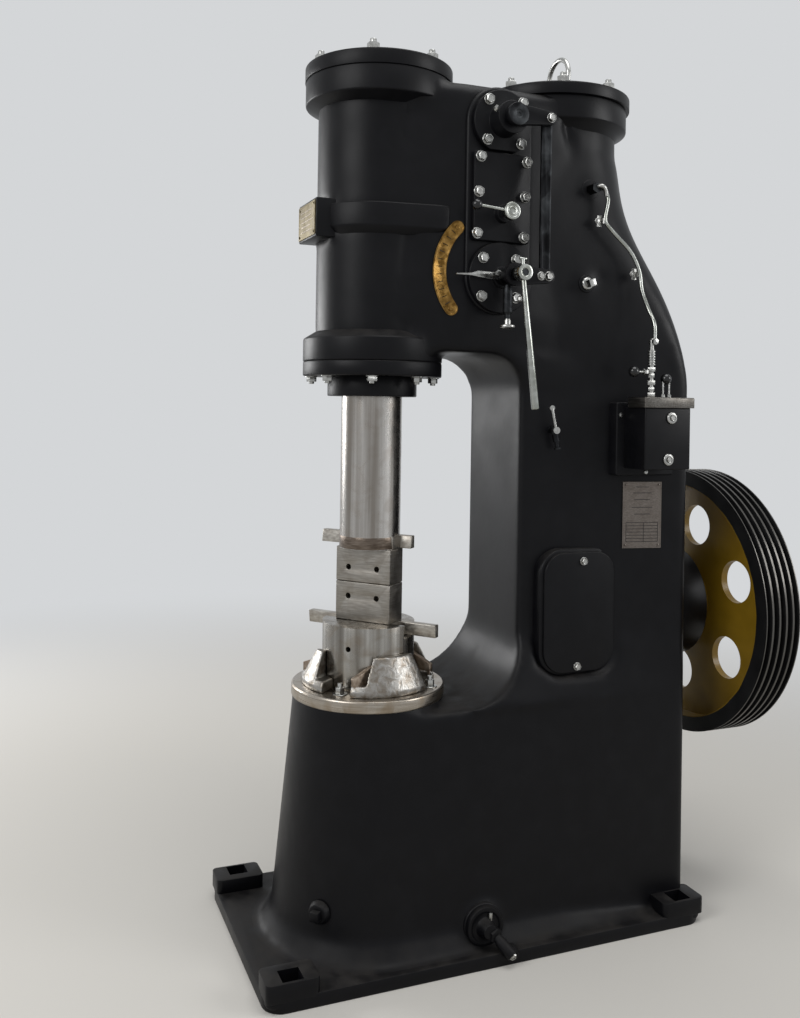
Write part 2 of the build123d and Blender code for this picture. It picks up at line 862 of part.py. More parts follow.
pulley_front = housing_end + pulley_gap
pulley_back = pulley_front + pulley_width
web_front = pulley_front + web_offset
groove_pitch = pulley_width / groove_count
rim_inner_radius = pulley_radius - rim_depth
web_hole_circle = rim_inner_radius - web_hole_margin - web_hole_radius
with BuildPart() as pulley:
    with BuildSketch(Plane.YZ):
        with BuildLine():
            Polyline(
                (pulley_front, shaft_z + rim_inner_radius), (pulley_front, shaft_z + pulley_radius),
                (pulley_back, shaft_z + pulley_radius), (pulley_back, shaft_z + rim_inner_radius),
                (web_front + web_thickness, shaft_z + rim_inner_radius),
                (web_front + web_thickness, shaft_z + hub_radius),
                (pulley_back, shaft_z + hub_radius), (pulley_back, shaft_z + shaft_radius),
                (pulley_front, shaft_z + shaft_radius), (pulley_front, shaft_z + hub_radius),
                (web_front, shaft_z + hub_radius), (web_front, shaft_z + rim_inner_radius), close=True,
            )
        make_face()
        for index in range(groove_count):
            middle = pulley_front + (index + 0.5) * groove_pitch
            with BuildLine():
                Polyline(
                    (middle - groove_mouth / 2, shaft_z + pulley_radius),
                    (middle + groove_mouth / 2, shaft_z + pulley_radius),
                    (middle + groove_foot / 2, shaft_z + pulley_radius - groove_depth),
                    (middle - groove_foot / 2, shaft_z + pulley_radius - groove_depth), close=True,
                )
            make_face(mode=Mode.SUBTRACT)
    revolve(axis=Axis((0, 0, shaft_z), (0, 1, 0)))
    with BuildSketch(Plane.XZ.offset(-web_front)):
        with Locations((0, shaft_z)):
            with PolarLocations(web_hole_circle, web_hole_count, start_angle=web_hole_start):
                Circle(web_hole_radius)
    extrude(amount=-web_thickness, mode=Mode.SUBTRACT)
finish(pulley, "belt_pulley")

with BuildPart() as crankshaft_end:
    with BuildSketch(Plane.XZ.offset(-(body_rear + end_gap))):
        with Locations((0, shaft_z)):
            Circle(shaft_radius)
    extrude(amount=body_rear + end_gap - pulley_back)
    with BuildSketch(Plane.XZ.offset(-pulley_back)):
        with Locations((0, shaft_z)):
            Circle(shaft_nose_radius)
    extrude(amount=-shaft_nose_length)
finish(crankshaft_end, "crankshaft_end")

# Valve covers on the flat of the chest
cover_face = chest_face + cover_thickness
with BuildPart() as upper_cover:
    with BuildSketch(side_plane(chest_face, valve_y, upper_valve_z)):
        Circle(upper_cover_radius)
        with Locations((0, -upper_cover_flat - upper_cover_radius)):
            Rectangle(2 * upper_cover_radius, 2 * upper_cover_radius, mode=Mode.SUBTRACT)
    extrude(amount=cover_thickness)
    chamfer(upper_cover.faces().sort_by(Axis.X)[-1].edges(), edge_break)
    with BuildSketch(side_plane(cover_face, valve_y, upper_valve_z)):
        Circle(bonnet_radius)
    extrude(amount=bonnet_length)
    with BuildSketch(side_plane(chest_face, valve_y, upper_valve_z)):
        Circle(spindle_radius + run_gap)
    extrude(amount=cover_thickness + bonnet_length, mode=Mode.SUBTRACT)
finish(upper_cover, "upper_valve_cover")

with BuildPart() as middle_cover:
    with BuildSketch(side_plane(chest_face, valve_y, middle_cover_z)):
        RectangleRounded(middle_cover_width, middle_cover_height, middle_cover_corner)
    extrude(amount=cover_thickness)
    chamfer(middle_cover.faces().sort_by(Axis.X)[-1].edges(), edge_break)
    with BuildSketch(side_plane(cover_face, valve_y, small_valve_z)):
        Circle(small_boss_radius)
    extrude(amount=small_boss_length)
    with BuildSketch(side_plane(chest_face, valve_y, small_valve_z)):
        Circle(small_spindle_radius + run_gap)
    extrude(amount=cover_thickness + small_boss_length, mode=Mode.SUBTRACT)
finish(middle_cover, "middle_valve_cover")

with BuildPart() as lower_cover:
    with BuildSketch(side_plane(chest_face, valve_y, lower_valve_z)):
        Circle(lower_cover_radius)
    extrude(amount=cover_thickness)
    chamfer(lower_cover.faces().sort_by(Axis.X)[-1].edges(), edge_break)
    with BuildSketch(side_plane(cover_face, valve_y, lower_valve_z)):
        Circle(lower_boss_radius)
    extrude(amount=lower_boss_length)
    with BuildSketch(side_plane(chest_face, valve_y, lower_valve_z)):
        Circle(spindle_radius + run_gap)
    extrude(amount=cover_thickness + lower_boss_length, mode=Mode.SUBTRACT)
finish(lower_cover, "lower_valve_cover")

# Linked arms of the upper and lower valves, both reaching rearwards
arm_outer_x = arm_inner_x + arm_thickness
link_outer_x = arm_inner_x - link_gap
link_inner_x = link_outer_x - link_thickness
pin_y = valve_y + arm_length


def arm_outline():
    """Tapered arm from its spindle at the origin to its pin, along local x."""
    with BuildSketch() as outline:
        with BuildLine():
            hub = CenterArc((0, 0), arm_hub_radius, 60, 240)
            tip = CenterArc((arm_length, 0), arm_end_radius, -90, 180)
            Line(hub @ 0, tip @ 1)
            Line(hub @ 1, tip @ 0)
        make_face()
    return outline.sketch


def valve_arm(z):
    """Arm bored for its spindle, with the link pin and its head."""
    with BuildPart() as arm:
        with BuildSketch(side_plane(arm_inner_x, valve_y, z)):
            add(arm_outline())
            Circle(spindle_radius, mode=Mode.SUBTRACT)
        extrude(amount=arm_thickness)
        with BuildSketch(side_plane(link_inner_x - link_gap, pin_y, z)):
            Circle(arm_pin_radius)
        extrude(amount=arm_inner_x - link_inner_x + link_gap)
        with BuildSketch(side_plane(arm_outer_x, pin_y, z)):
            Circle(pin_head_radius)
        extrude(amount=pin_head_height)
    return arm


def valve_spindle(z, end_x):
    with BuildPart() as spindle:
        with BuildSketch(side_plane(chest_face + end_gap, valve_y, z)):
            Circle(spindle_radius)
        extrude(amount=end_x - chest_face - end_gap)
    return spindle


upper_arm = valve_arm(upper_valve_z)
finish(upper_arm, "upper_valve_arm")
upper_spindle = valve_spindle(upper_valve_z, arm_outer_x)
finish(upper_spindle, "upper_valve_spindle")

lever_outer_x = lever_inner_x + lever_hub_length
lower_arm = valve_arm(lower_valve_z)
finish(lower_arm, "lower_valve_arm")
lower_spindle = valve_spindle(lower_valve_z, lever_outer_x)
finish(lower_spindle, "lower_valve_spindle")

with BuildPart() as link:
    with BuildSketch(side_plane(link_inner_x, pin_y, (upper_valve_z + lower_valve_z) / 2)):
        SlotCenterToCenter(upper_valve_z - lower_valve_z, link_width, rotation=90)
        with GridLocations(1, upper_valve_z - lower_valve_z, 1, 2):
            Circle(arm_pin_radius + link_bore_gap, mode=Mode.SUBTRACT)
    extrude(amount=link_thickness)
finish(link, "valve_link")

# Hand lever, sleeve with plunger, and pointer on the lower spindle
lean = math.radians(lever_lean)
lever_down = (0, math.sin(lean), -math.cos(lean))
lever_x = lever_inner_x + lever_hub_length / 2
with BuildPart() as hand_lever:
    with BuildSketch(side_plane(lever_inner_x, valve_y, lower_valve_z)):
        Circle(lever_hub_radius)
    extrude(amount=lever_hub_length)
    rod_plane = Plane(origin=(lever_x, valve_y, lower_valve_z), z_dir=lever_down)
    with BuildSketch(rod_plane):
        Circle(lever_top_radius)
    with BuildSketch(rod_plane.offset(lever_length)):
        Circle(lever_end_radius)
    loft()
    with BuildSketch(side_plane(lever_inner_x, valve_y, lower_valve_z)):
        Circle(spindle_radius)
    extrude(amount=lever_hub_length, mode=Mode.SUBTRACT)
finish(hand_lever, "hand_lever")

pointer_inner_x = cover_face + lower_boss_length + end_gap
sleeve_inner_x = pointer_inner_x + pointer_thickness
sleeve_x = sleeve_inner_x + sleeve_length / 2
with BuildPart() as pointer:
    with BuildSketch(side_plane(pointer_inner_x, valve_y, lower_valve_z)):
        Circle(pointer_hub_radius)
        with BuildLine():
            Polyline(
                (0, pointer_root / 2), (-pointer_length, pointer_tip / 2),
                (-pointer_length, -pointer_tip / 2), (0, -pointer_root / 2), close=True,
            )
        make_face()
        Circle(spindle_radius, mode=Mode.SUBTRACT)
    extrude(amount=pointer_thickness)
finish(pointer, "valve_pointer")

with BuildPart() as sleeve:
    with BuildSketch(side_plane(sleeve_inner_x, valve_y, lower_valve_z)):
        Circle(sleeve_radius)
    extrude(amount=sleeve_length)
    with BuildSketch(Plane.XY.offset(lower_valve_z)):
        with Locations((sleeve_x, valve_y)):
            Circle(plunger_radius)
    extrude(amount=-(sleeve_radius + plunger_length))
    with BuildSketch(Plane.XY.offset(lower_valve_z - sleeve_radius - plunger_length)):
        with Locations((sleeve_x, valve_y)):
            Circle(plunger_disc_radius)
    extrude(amount=-plunger_disc_thickness)
    with BuildSketch(side_plane(sleeve_inner_x, valve_y, lower_valve_z)):
        Circle(spindle_radius)
    extrude(amount=sleeve_length, mode=Mode.SUBTRACT)
finish(sleeve, "lever_plunger")

# Small valve handle with its ball
small_inner_x = small_spindle_end - small_hub_length
rod_lean = math.radians(small_rod_lean)
rod_out = (0, -math.cos(rod_lean), math.sin(rod_lean))
small_x = small_inner_x + small_hub_length / 2
with BuildPart() as small_handle:
    with BuildSketch(side_plane(chest_face + end_gap, valve_y, small_valve_z)):
        Circle(small_spindle_radius)
    extrude(amount=small_spindle_end - chest_face - end_gap)
    with BuildSketch(side_plane(small_inner_x, valve_y, small_valve_z)):
        Circle(small_hub_radius)
    extrude(amount=small_hub_length)
    with BuildSketch(Plane(origin=(small_x, valve_y, small_valve_z), z_dir=rod_out)):
        Circle(small_rod_radius)
    extrude(amount=small_rod_length)
    ball_y = valve_y + rod_out[1] * small_rod_length
    ball_z = small_valve_z + rod_out[2] * small_rod_length
    with Locations((small_x, ball_y, ball_z)):
        Sphere(small_ball_radius)
finish(small_handle, "small_valve_handle")

# Brass scale on the neck
scale_sweep = scale_highest_angle - scale_lowest_angle
scale_arc = CenterArc((scale_centre_y, 0), scale_radius, scale_lowest_angle, scale_sweep)
with BuildPart() as valve_scale:
    with BuildSketch(neck_plane(scale_centre_z)):
        SlotArc(scale_arc, scale_width)
    extrude(amount=scale_thickness)
finish(valve_scale, "valve_scale")

# Plate on the block at the front of the working cylinder
with BuildPart() as front_plate:
    with BuildSketch(Plane.XZ.offset(-front_block_y)):
        with Locations((0, (front_block_bottom + front_block_top) / 2)):
            Rectangle(
                2 * (front_block_half - front_plate_margin),
                front_block_top - front_block_bottom - 2 * front_plate_margin,
            )
    extrude(amount=front_plate_thickness)
finish(front_plate, "front_plate")

# Access cover
with BuildPart() as access_cover:
    with BuildSketch(side_plane(access_face, access_y, access_z)):
        RectangleRounded(access_width, access_height, access_corner)
    extrude(amount=access_cover_thickness)
    chamfer(access_cover.faces().sort_by(Axis.X)[-1].edges(), edge_break)
finish(access_cover, "access_cover")

# Lubricator tank on its pad, and the lid
oiler_box_face = oiler_pad_face + oiler_box_depth
with BuildPart() as oiler_tank:
    with BuildSketch(
        centred_plane(oiler_pad_face, oiler_box_front, oiler_box_rear, oiler_box_bottom, oiler_box_top)
    ):
        Rectangle(oiler_box_rear - oiler_box_front, oiler_box_top - oiler_box_bottom)
    extrude(amount=oiler_box_depth)
    chamfer(oiler_tank.faces().sort_by(Axis.X)[-1].edges(), edge_break)
finish(oiler_tank, "lubricator_tank")

oiler_lid_face = oiler_box_face + oiler_lid_overhang
oiler_lid_top = oiler_box_top + oiler_lid_thickness
with BuildPart() as oiler_lid:
    with BuildSketch(Plane.XY.offset(oiler_box_top)):
        with Locations((oiler_lid_face - oiler_lid_depth / 2, (oiler_box_front + oiler_box_rear) / 2)):
            Rectangle(oiler_lid_depth, oiler_box_rear - oiler_box_front + 2 * oiler_lid_overhang)
    extrude(amount=oiler_lid_thickness)
    chamfer(oiler_lid.faces().sort_by(Axis.Z)[-1].edges(), edge_break)
finish(oiler_lid, "lubricator_lid")

# Oil feed on the lid: stem, unions, sight glass, and a side knob
stack_foot = Plane(origin=(oiler_stack_x, oiler_stack_y, oiler_lid_top))
with BuildPart() as oil_feed:
    with BuildSketch(stack_foot):
        Circle(oiler_stem_radius)
    extrude(amount=oiler_stack_height)
    with BuildSketch(stack_foot.offset(oiler_glass_low)):
        Circle(oiler_glass_radius)
    extrude(amount=oiler_glass_height)
    for height in oiler_unions:
        with BuildSketch(stack_foot.offset(height)):
            RegularPolygon(oiler_union_radius, 6)
        extrude(amount=oiler_union_height)
    knob_z = oiler_lid_top + oiler_knob_height
    with BuildSketch(Plane(origin=(oiler_stack_x, oiler_stack_y, knob_z), z_dir=(0, -1, 0))):
        Circle(oiler_knob_stem)
    extrude(amount=oiler_knob_reach)
    with Locations((oiler_stack_x, oiler_stack_y - oiler_knob_reach, knob_z)):
        Sphere(oiler_knob_radius)
finish(oil_feed, "oil_feed_stack")

with BuildPart() as oiler_handle:
    with BuildSketch(Plane(origin=(oiler_stack_x, oiler_handle_y, oiler_lid_top))):
        with GridLocations(1, 2 * oiler_handle_half, 1, 2):
            Circle(oiler_handle_radius)
    extrude(amount=oiler_handle_height)
    with Locations((oiler_stack_x, oiler_handle_y, oiler_lid_top + oiler_handle_height)):
        Sphere(oiler_handle_half + oiler_handle_radius)
finish(oiler_handle, "oil_filler")

# Elbow on the barrel, and the oil pipe bent from one tube
with BuildPart() as pipe_elbow:
    with BuildSketch(side_plane(elbow_boss_face, elbow_y, elbow_z)):
        RegularPolygon(elbow_radius, 6, major_radius=False, rotation=30)
    extrude(amount=elbow_length)
finish(pipe_elbow, "pipe_elbow")

pipe_start = (elbow_boss_face + elbow_length - pipe_inset, elbow_y + elbow_radius, elbow_z)
pipe_end = (oiler_stack_x, oiler_stack_y, oiler_lid_top + oiler_stack_height)
pipe_first = (pipe_start[0], pipe_start[1] + pipe_lead, pipe_start[2])
pipe_last = (pipe_end[0], pipe_end[1], pipe_end[2] + pipe_drop)
route = [pipe_start, pipe_first, *pipe_points, pipe_last, pipe_end]


def bend_radius(before, corner, after):
    """Radius of the arc that uses its share of the shorter straight at a corner."""
    first = Vector(*corner) - Vector(*before)
    second = Vector(*after) - Vector(*corner)
    turn = math.radians(first.get_angle(second))
    return bend_share * min(first.length, second.length) / math.tan(turn / 2)


pipe_bends = [bend_radius(*route[index:index + 3]) for index in range(len(route) - 2)]
print("pipe bends", [round(radius, 1) for radius in pipe_bends])
with BuildPart() as oil_pipe:
    with BuildLine() as pipe_line:
        FilletPolyline(*route, radius=pipe_bends)
    with BuildSketch(Plane(origin=pipe_line.line @ 0, z_dir=pipe_line.line % 0)):
        Circle(pipe_radius)
    sweep()
finish(oil_pipe, "oil_pipe")

# Plug on the shoulder
with BuildPart() as shoulder_plug:
    with BuildSketch(side_plane(plug_boss_face, plug_y, plug_z)):
        RegularPolygon(plug_radius, 6)
    extrude(amount=plug_length)
    with BuildSketch(side_plane(plug_boss_face + plug_length, plug_y, plug_z)):
        Rectangle(plug_square, plug_square, rotation=plug_square_turn)
    extrude(amount=plug_square_length)
finish(shoulder_plug, "shoulder_plug")

# Petcock: stem in the wall, leaning barrel with its spout, and the handle
cock_wall = wall_plane(cock_y, cock_z)
cock_axis = cock_wall.z_dir
cock_centre = cock_wall.origin + cock_axis * cock_stem_length
cock_down = Vector(0, math.sin(math.radians(cock_lean)), -math.cos(math.radians(cock_lean)))
cock_down = (cock_down - cock_axis * cock_down.dot(cock_axis)).normalized()
with BuildPart() as petcock:
    with BuildSketch(cock_wall):
        Circle(cock_stem_radius)
    extrude(amount=cock_stem_length)
    with BuildSketch(Plane(origin=cock_centre - cock_down * cock_barrel_above, z_dir=cock_down)):
        Circle(cock_barrel_radius)
    extrude(amount=cock_barrel_above + cock_barrel_below)
    with BuildSketch(Plane(origin=cock_centre + cock_down * cock_barrel_below, z_dir=cock_down)):
        Circle(cock_spout_radius)
    extrude(amount=cock_spout_length)
    with BuildSketch(
        Plane(origin=cock_centre + cock_down * (cock_barrel_below + cock_spout_length), z_dir=cock_down)
    ):
        Circle(cock_lip_radius)
    extrude(amount=cock_lip_length)
finish(petcock, "petcock_body")

cock_hub = cock_centre + cock_axis * (cock_barrel_radius + slip_gap)
cock_rod = cock_hub + cock_axis * (cock_hub_length / 2)
with BuildPart() as petcock_handle:
    with BuildSketch(Plane(origin=cock_hub, z_dir=cock_axis)):
        Circle(cock_hub_radius)
    extrude(amount=cock_hub_length)
    with BuildSketch(Plane(origin=cock_rod, z_dir=-cock_down)):
        Circle(cock_handle_radius)
    extrude(amount=cock_handle_length)
    with BuildSketch(Plane(origin=cock_rod - cock_down * cock_handle_length, z_dir=cock_axis)):
        Circle(cock_eye_radius)
    extrude(amount=cock_eye_half, both=True)
finish(petcock_handle, "petcock_handle")

# Data plate
with BuildPart() as data_plate:
    with BuildSketch(wall_plane(data_plate_y, data_plate_z)):
        Rectangle(data_plate_width, data_plate_height)
    extrude(amount=data_plate_thickness)
finish(data_plate, "data_plate")

# Drain flange, and the cock with its capped outlet beside the base plate
drain_face = drain_boss_face + drain_flange_thickness
with BuildPart() as drain_flange:
    with BuildSketch(side_plane(drain_boss_face, drain_y, drain_z)):
        Circle(drain_radius)
    extrude(amount=drain_flange_thickness)
finish(drain_flange, "drain_flange")

drain_knee = Vector(drain_face + drain_pipe_length, drain_y, drain_z)
drain_mouth_x = base_width / 2 + drain_outlet_out
drain_mouth = Vector(drain_mouth_x, drain_y + drain_outlet_back, drain_z - drain_outlet_drop)
drain_way = (drain_mouth - drain_knee).normalized()
with BuildPart() as drain_cock:
    with BuildSketch(side_plane(drain_face, drain_y, drain_z)):
        Circle(drain_pipe_radius)
    extrude(amount=drain_pipe_length)
    with Locations(drain_knee):
        Sphere(drain_pipe_radius)
    with BuildSketch(Plane(origin=drain_knee, z_dir=drain_way)):
        Circle(drain_outlet_radius)
    extrude(amount=(drain_mouth - drain_knee).length)
    with BuildSketch(Plane(origin=drain_mouth, z_dir=drain_way)):
        RegularPolygon(drain_cap_radius, 6)
    extrude(amount=drain_cap_length)
finish(drain_cock, "drain_cock")

print("frame", len(frame_casting.part.solids()), round(frame_casting.part.volume / 1e9, 4))
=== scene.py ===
# Self-contained power hammer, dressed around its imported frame. Lengths are in metres.
import json
import math

import bmesh
import bpy
from mathutils import Matrix, Vector


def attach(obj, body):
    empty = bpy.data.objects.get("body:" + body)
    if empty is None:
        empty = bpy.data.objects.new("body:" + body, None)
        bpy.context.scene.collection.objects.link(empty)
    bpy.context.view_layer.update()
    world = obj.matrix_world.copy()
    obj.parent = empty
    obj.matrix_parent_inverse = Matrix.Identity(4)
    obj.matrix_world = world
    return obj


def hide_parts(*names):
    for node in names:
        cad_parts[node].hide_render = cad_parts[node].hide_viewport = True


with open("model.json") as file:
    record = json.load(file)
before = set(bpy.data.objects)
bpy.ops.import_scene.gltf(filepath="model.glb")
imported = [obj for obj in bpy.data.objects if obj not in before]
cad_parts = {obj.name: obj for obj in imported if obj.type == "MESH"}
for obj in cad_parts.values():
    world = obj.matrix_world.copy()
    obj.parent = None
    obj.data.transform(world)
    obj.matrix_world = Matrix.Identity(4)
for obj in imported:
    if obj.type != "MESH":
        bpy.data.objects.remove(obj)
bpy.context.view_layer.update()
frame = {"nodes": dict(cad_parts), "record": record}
print("frame loaded:", len(frame["nodes"]), "nodes")


# Camera and studio

camera = {
    "place": (2.160595, -0.801379, 1.200),
    "yaw": 0.383517, "pitch": 0.0019657, "roll": 0.0152953,
    "lens": 35.23, "sensor": 36, "shiftY": -0.0992,
}


def setCamera():
    flat, tilt, roll = camera["yaw"], camera["pitch"], camera["roll"]
    ahead = Vector((-math.cos(flat) * math.cos(tilt), math.sin(flat) * math.cos(tilt), -math.sin(tilt)))
    level = ahead.cross(Vector((0, 0, 1))).normalized()
    lift = level.cross(ahead)
    right = level * math.cos(roll) + lift * math.sin(roll)
    up = lift * math.cos(roll) - level * math.sin(roll)
    data = bpy.data.cameras.new("camera")
    data.lens, data.sensor_width, data.shift_y = camera["lens"], camera["sensor"], camera["shiftY"]
    eye = bpy.data.objects.new("camera", data)
    eye.matrix_world = Matrix.Translation(camera["place"]) @ Matrix((right, up, -ahead)).transposed().to_4x4()
    bpy.context.scene.collection.objects.link(eye)
    bpy.context.scene.camera = eye


def linear(hexColour):
    # sRGB hex to linear colour
    parts = [int(hexColour[i:i + 2], 16) / 255 for i in (1, 3, 5)]
    return [p / 12.92 if p <= 0.04045 else ((p + 0.055) / 1.055) ** 2.4 for p in parts] + [1.0]


def link(tree, node, links):
    # links or sets sockets; a node given as a value lends the first of its outputs that is in use
    for socket, value in links.items():
        if isinstance(value, bpy.types.Node):
            value = next(output for output in value.outputs if output.enabled)
        if isinstance(value, bpy.types.NodeSocket):
            tree.links.new(value, node.inputs[socket])
        else:
            node.inputs[socket].default_value = value


def addNode(tree, kind, links, **settings):
    node = tree.nodes.new("ShaderNode" + kind)
    for name, value in settings.items():
        setattr(node, name, value)
    link(tree, node, links)
    return node


def startMaterial(name, sockets):
    material = bpy.data.materials.new(name)
    material.use_nodes = True
    tree = material.node_tree
    shader = tree.nodes["Principled BSDF"]
    link(tree, shader, sockets)
    return material, tree, shader, addNode(tree, "TexCoord", {}).outputs["Object"]


studio = {
    "floor": "#c9c6c0", "wall": "#d4d6d8", "ambient": 0.50, "floorSize": 60.0, "fadeFrom": 1.3,
    "fadeTo": 4.2, "floorRough": 0.75, "floorGloss": 0.2,
    # name: place, aim, size, watts
    "lamps": {
        "key": ((1.6, -3.6, 3.2), (0, 0.1, 1.0), 2.6, 84),
        "side": ((-3.2, -2.2, 1.7), (0, 0.0, 1.3), 1.8, 76),
        "top": ((0.8, 0.6, 4.6), (0, 0.3, 0.8), 3.0, 74),
        "back": ((2.6, 3.6, 2.4), (0, 0.6, 0.9), 2.0, 55),
    },
}


def straightRays(tree):
    # 1 where the camera, a mirror or a glass sees it, 0 for the light that falls on the object
    path = addNode(tree, "LightPath", {}).outputs
    seen = addNode(tree, "Math", {0: path["Is Camera Ray"], 1: path["Is Glossy Ray"]}, operation="MAXIMUM")
    return addNode(tree, "Math", {0: seen, 1: path["Is Transmission Ray"]}, operation="MAXIMUM")


def makeWorld(wall):
    world = bpy.data.worlds.new("studio")
    bpy.context.scene.world = world
    world.use_nodes = True
    tree = world.node_tree
    tree.nodes.clear()
    dim = [c * studio["ambient"] for c in wall[:3]] + [1.0]
    colour = addNode(tree, "Mix", {0: straightRays(tree), 6: dim, 7: wall}, data_type="RGBA")
    light = addNode(tree, "Background", {"Color": colour, "Strength": 1.0})
    addNode(tree, "OutputWorld", {"Surface": light})


def makeFloor(wall):
    # pale floor that fades into the wall's colour away from the object
    bm = bmesh.new()
    bmesh.ops.create_grid(bm, x_segments=1, y_segments=1, size=studio["floorSize"] / 2)
    mesh = bpy.data.meshes.new("floor")
    bm.to_mesh(mesh)
    bm.free()
    floor = bpy.data.objects.new("floor", mesh)
    bpy.context.scene.collection.objects.link(floor)
    material, tree, shader, place = startMaterial("paleFloor", {
        "Base Color": linear(studio["floor"]), "Roughness": studio["floorRough"],
        "Specular IOR Level": studio["floorGloss"]})
    reach = addNode(tree, "VectorMath", {0: place}, operation="LENGTH")
    far = addNode(tree, "MapRange", {0: reach, 1: studio["fadeFrom"], 2: studio["fadeTo"]},
                  interpolation_type="SMOOTHSTEP")
    share = addNode(tree, "Math", {0: far, 1: straightRays(tree)}, operation="MULTIPLY")
    glow = addNode(tree, "Emission", {"Color": wall, "Strength": 1.0})
    mixed = addNode(tree, "MixShader", {0: share, 1: shader, 2: glow})
    link(tree, tree.nodes["Material Output"], {"Surface": mixed})
    mesh.materials.append(material)


def makeStudio():
    wall = linear(studio["wall"])
    makeWorld(wall)
    makeFloor(wall)
    for name, (place, aim, size, watts) in studio["lamps"].items():
        data = bpy.data.lights.new(name, "AREA")
        data.shape, data.size, data.energy = "DISK", size, watts
        lamp = bpy.data.objects.new(name, data)
        turn = (Vector(aim) - Vector(place)).to_track_quat("-Z", "Y").to_matrix().to_4x4()
        lamp.matrix_world = Matrix.Translation(place) @ turn
        bpy.context.scene.collection.objects.link(lamp)
    bpy.context.scene.view_settings.view_transform = "Standard"


setCamera()
makeStudio()
print("studio ready")


# Materials

# Satin black enamel sprayed over filled cast iron: a soft broad sheen, faint orange peel, slow waves of
# filler, and a film of grey workshop dust on what faces up
enamel = {
    "colour": "#09090c", "worn": "#101013", "dust": "#3d3a36", "dustMost": 0.34,
    "gloss": 0.16, "smooth": 0.34, "dull": 0.47, "peel": 0.0035, "peelDeep": 0.00008,
    "wave": 0.120, "waveDeep": 0.0022, "cloud": 0.045,
}


def makeEnamel():
    material, tree, shader, place = startMaterial("satinBlackEnamel", {"Specular IOR Level": enamel["gloss"]})
    wave = addNode(tree, "TexNoise", {"Vector": place, "Scale": 1 / enamel["wave"], "Detail": 3.0})
    cloud = addNode(tree, "TexNoise", {"Vector": place, "Scale": 1 / enamel["cloud"], "Detail": 5.0})
    peel = addNode(tree, "TexNoise", {"Vector": place, "Scale": 1 / enamel["peel"], "Detail": 2.0})
    facing = addNode(tree, "SeparateXYZ", {0: addNode(tree, "NewGeometry", {}).outputs["Normal"]})
    level = addNode(tree, "MapRange", {0: facing.outputs["Z"], 1: 0.35, 2: 0.98, 4: enamel["dustMost"]})
    film = addNode(tree, "MapRange", {0: cloud, 1: 0.38, 2: 0.68, 3: 0.25, 4: 1.0})
    dust = addNode(tree, "Math", {0: level, 1: film}, operation="MULTIPLY")
    patch = addNode(tree, "MapRange", {0: cloud, 1: 0.45, 2: 0.75, 4: 0.6})
    paint = addNode(tree, "Mix", {0: patch, 6: linear(enamel["colour"]), 7: linear(enamel["worn"])},
                    data_type="RGBA")
    colour = addNode(tree, "Mix", {0: dust, 6: paint, 7: linear(enamel["dust"])}, data_type="RGBA")
    gloss = addNode(tree, "MapRange", {0: wave, 1: 0.3, 2: 0.7, 3: enamel["smooth"], 4: enamel["dull"]})
    rough = addNode(tree, "Math", {0: gloss, 1: dust}, operation="ADD", use_clamp=True)
    slow = addNode(tree, "Bump", {"Height": wave, "Strength": 0.6, "Distance": enamel["waveDeep"]})
    fine = addNode(tree, "Bump", {"Height": peel, "Strength": 0.5, "Distance": enamel["peelDeep"],
                                  "Normal": slow})
    link(tree, shader, {"Base Color": colour, "Roughness": rough, "Normal": fine})
    return material


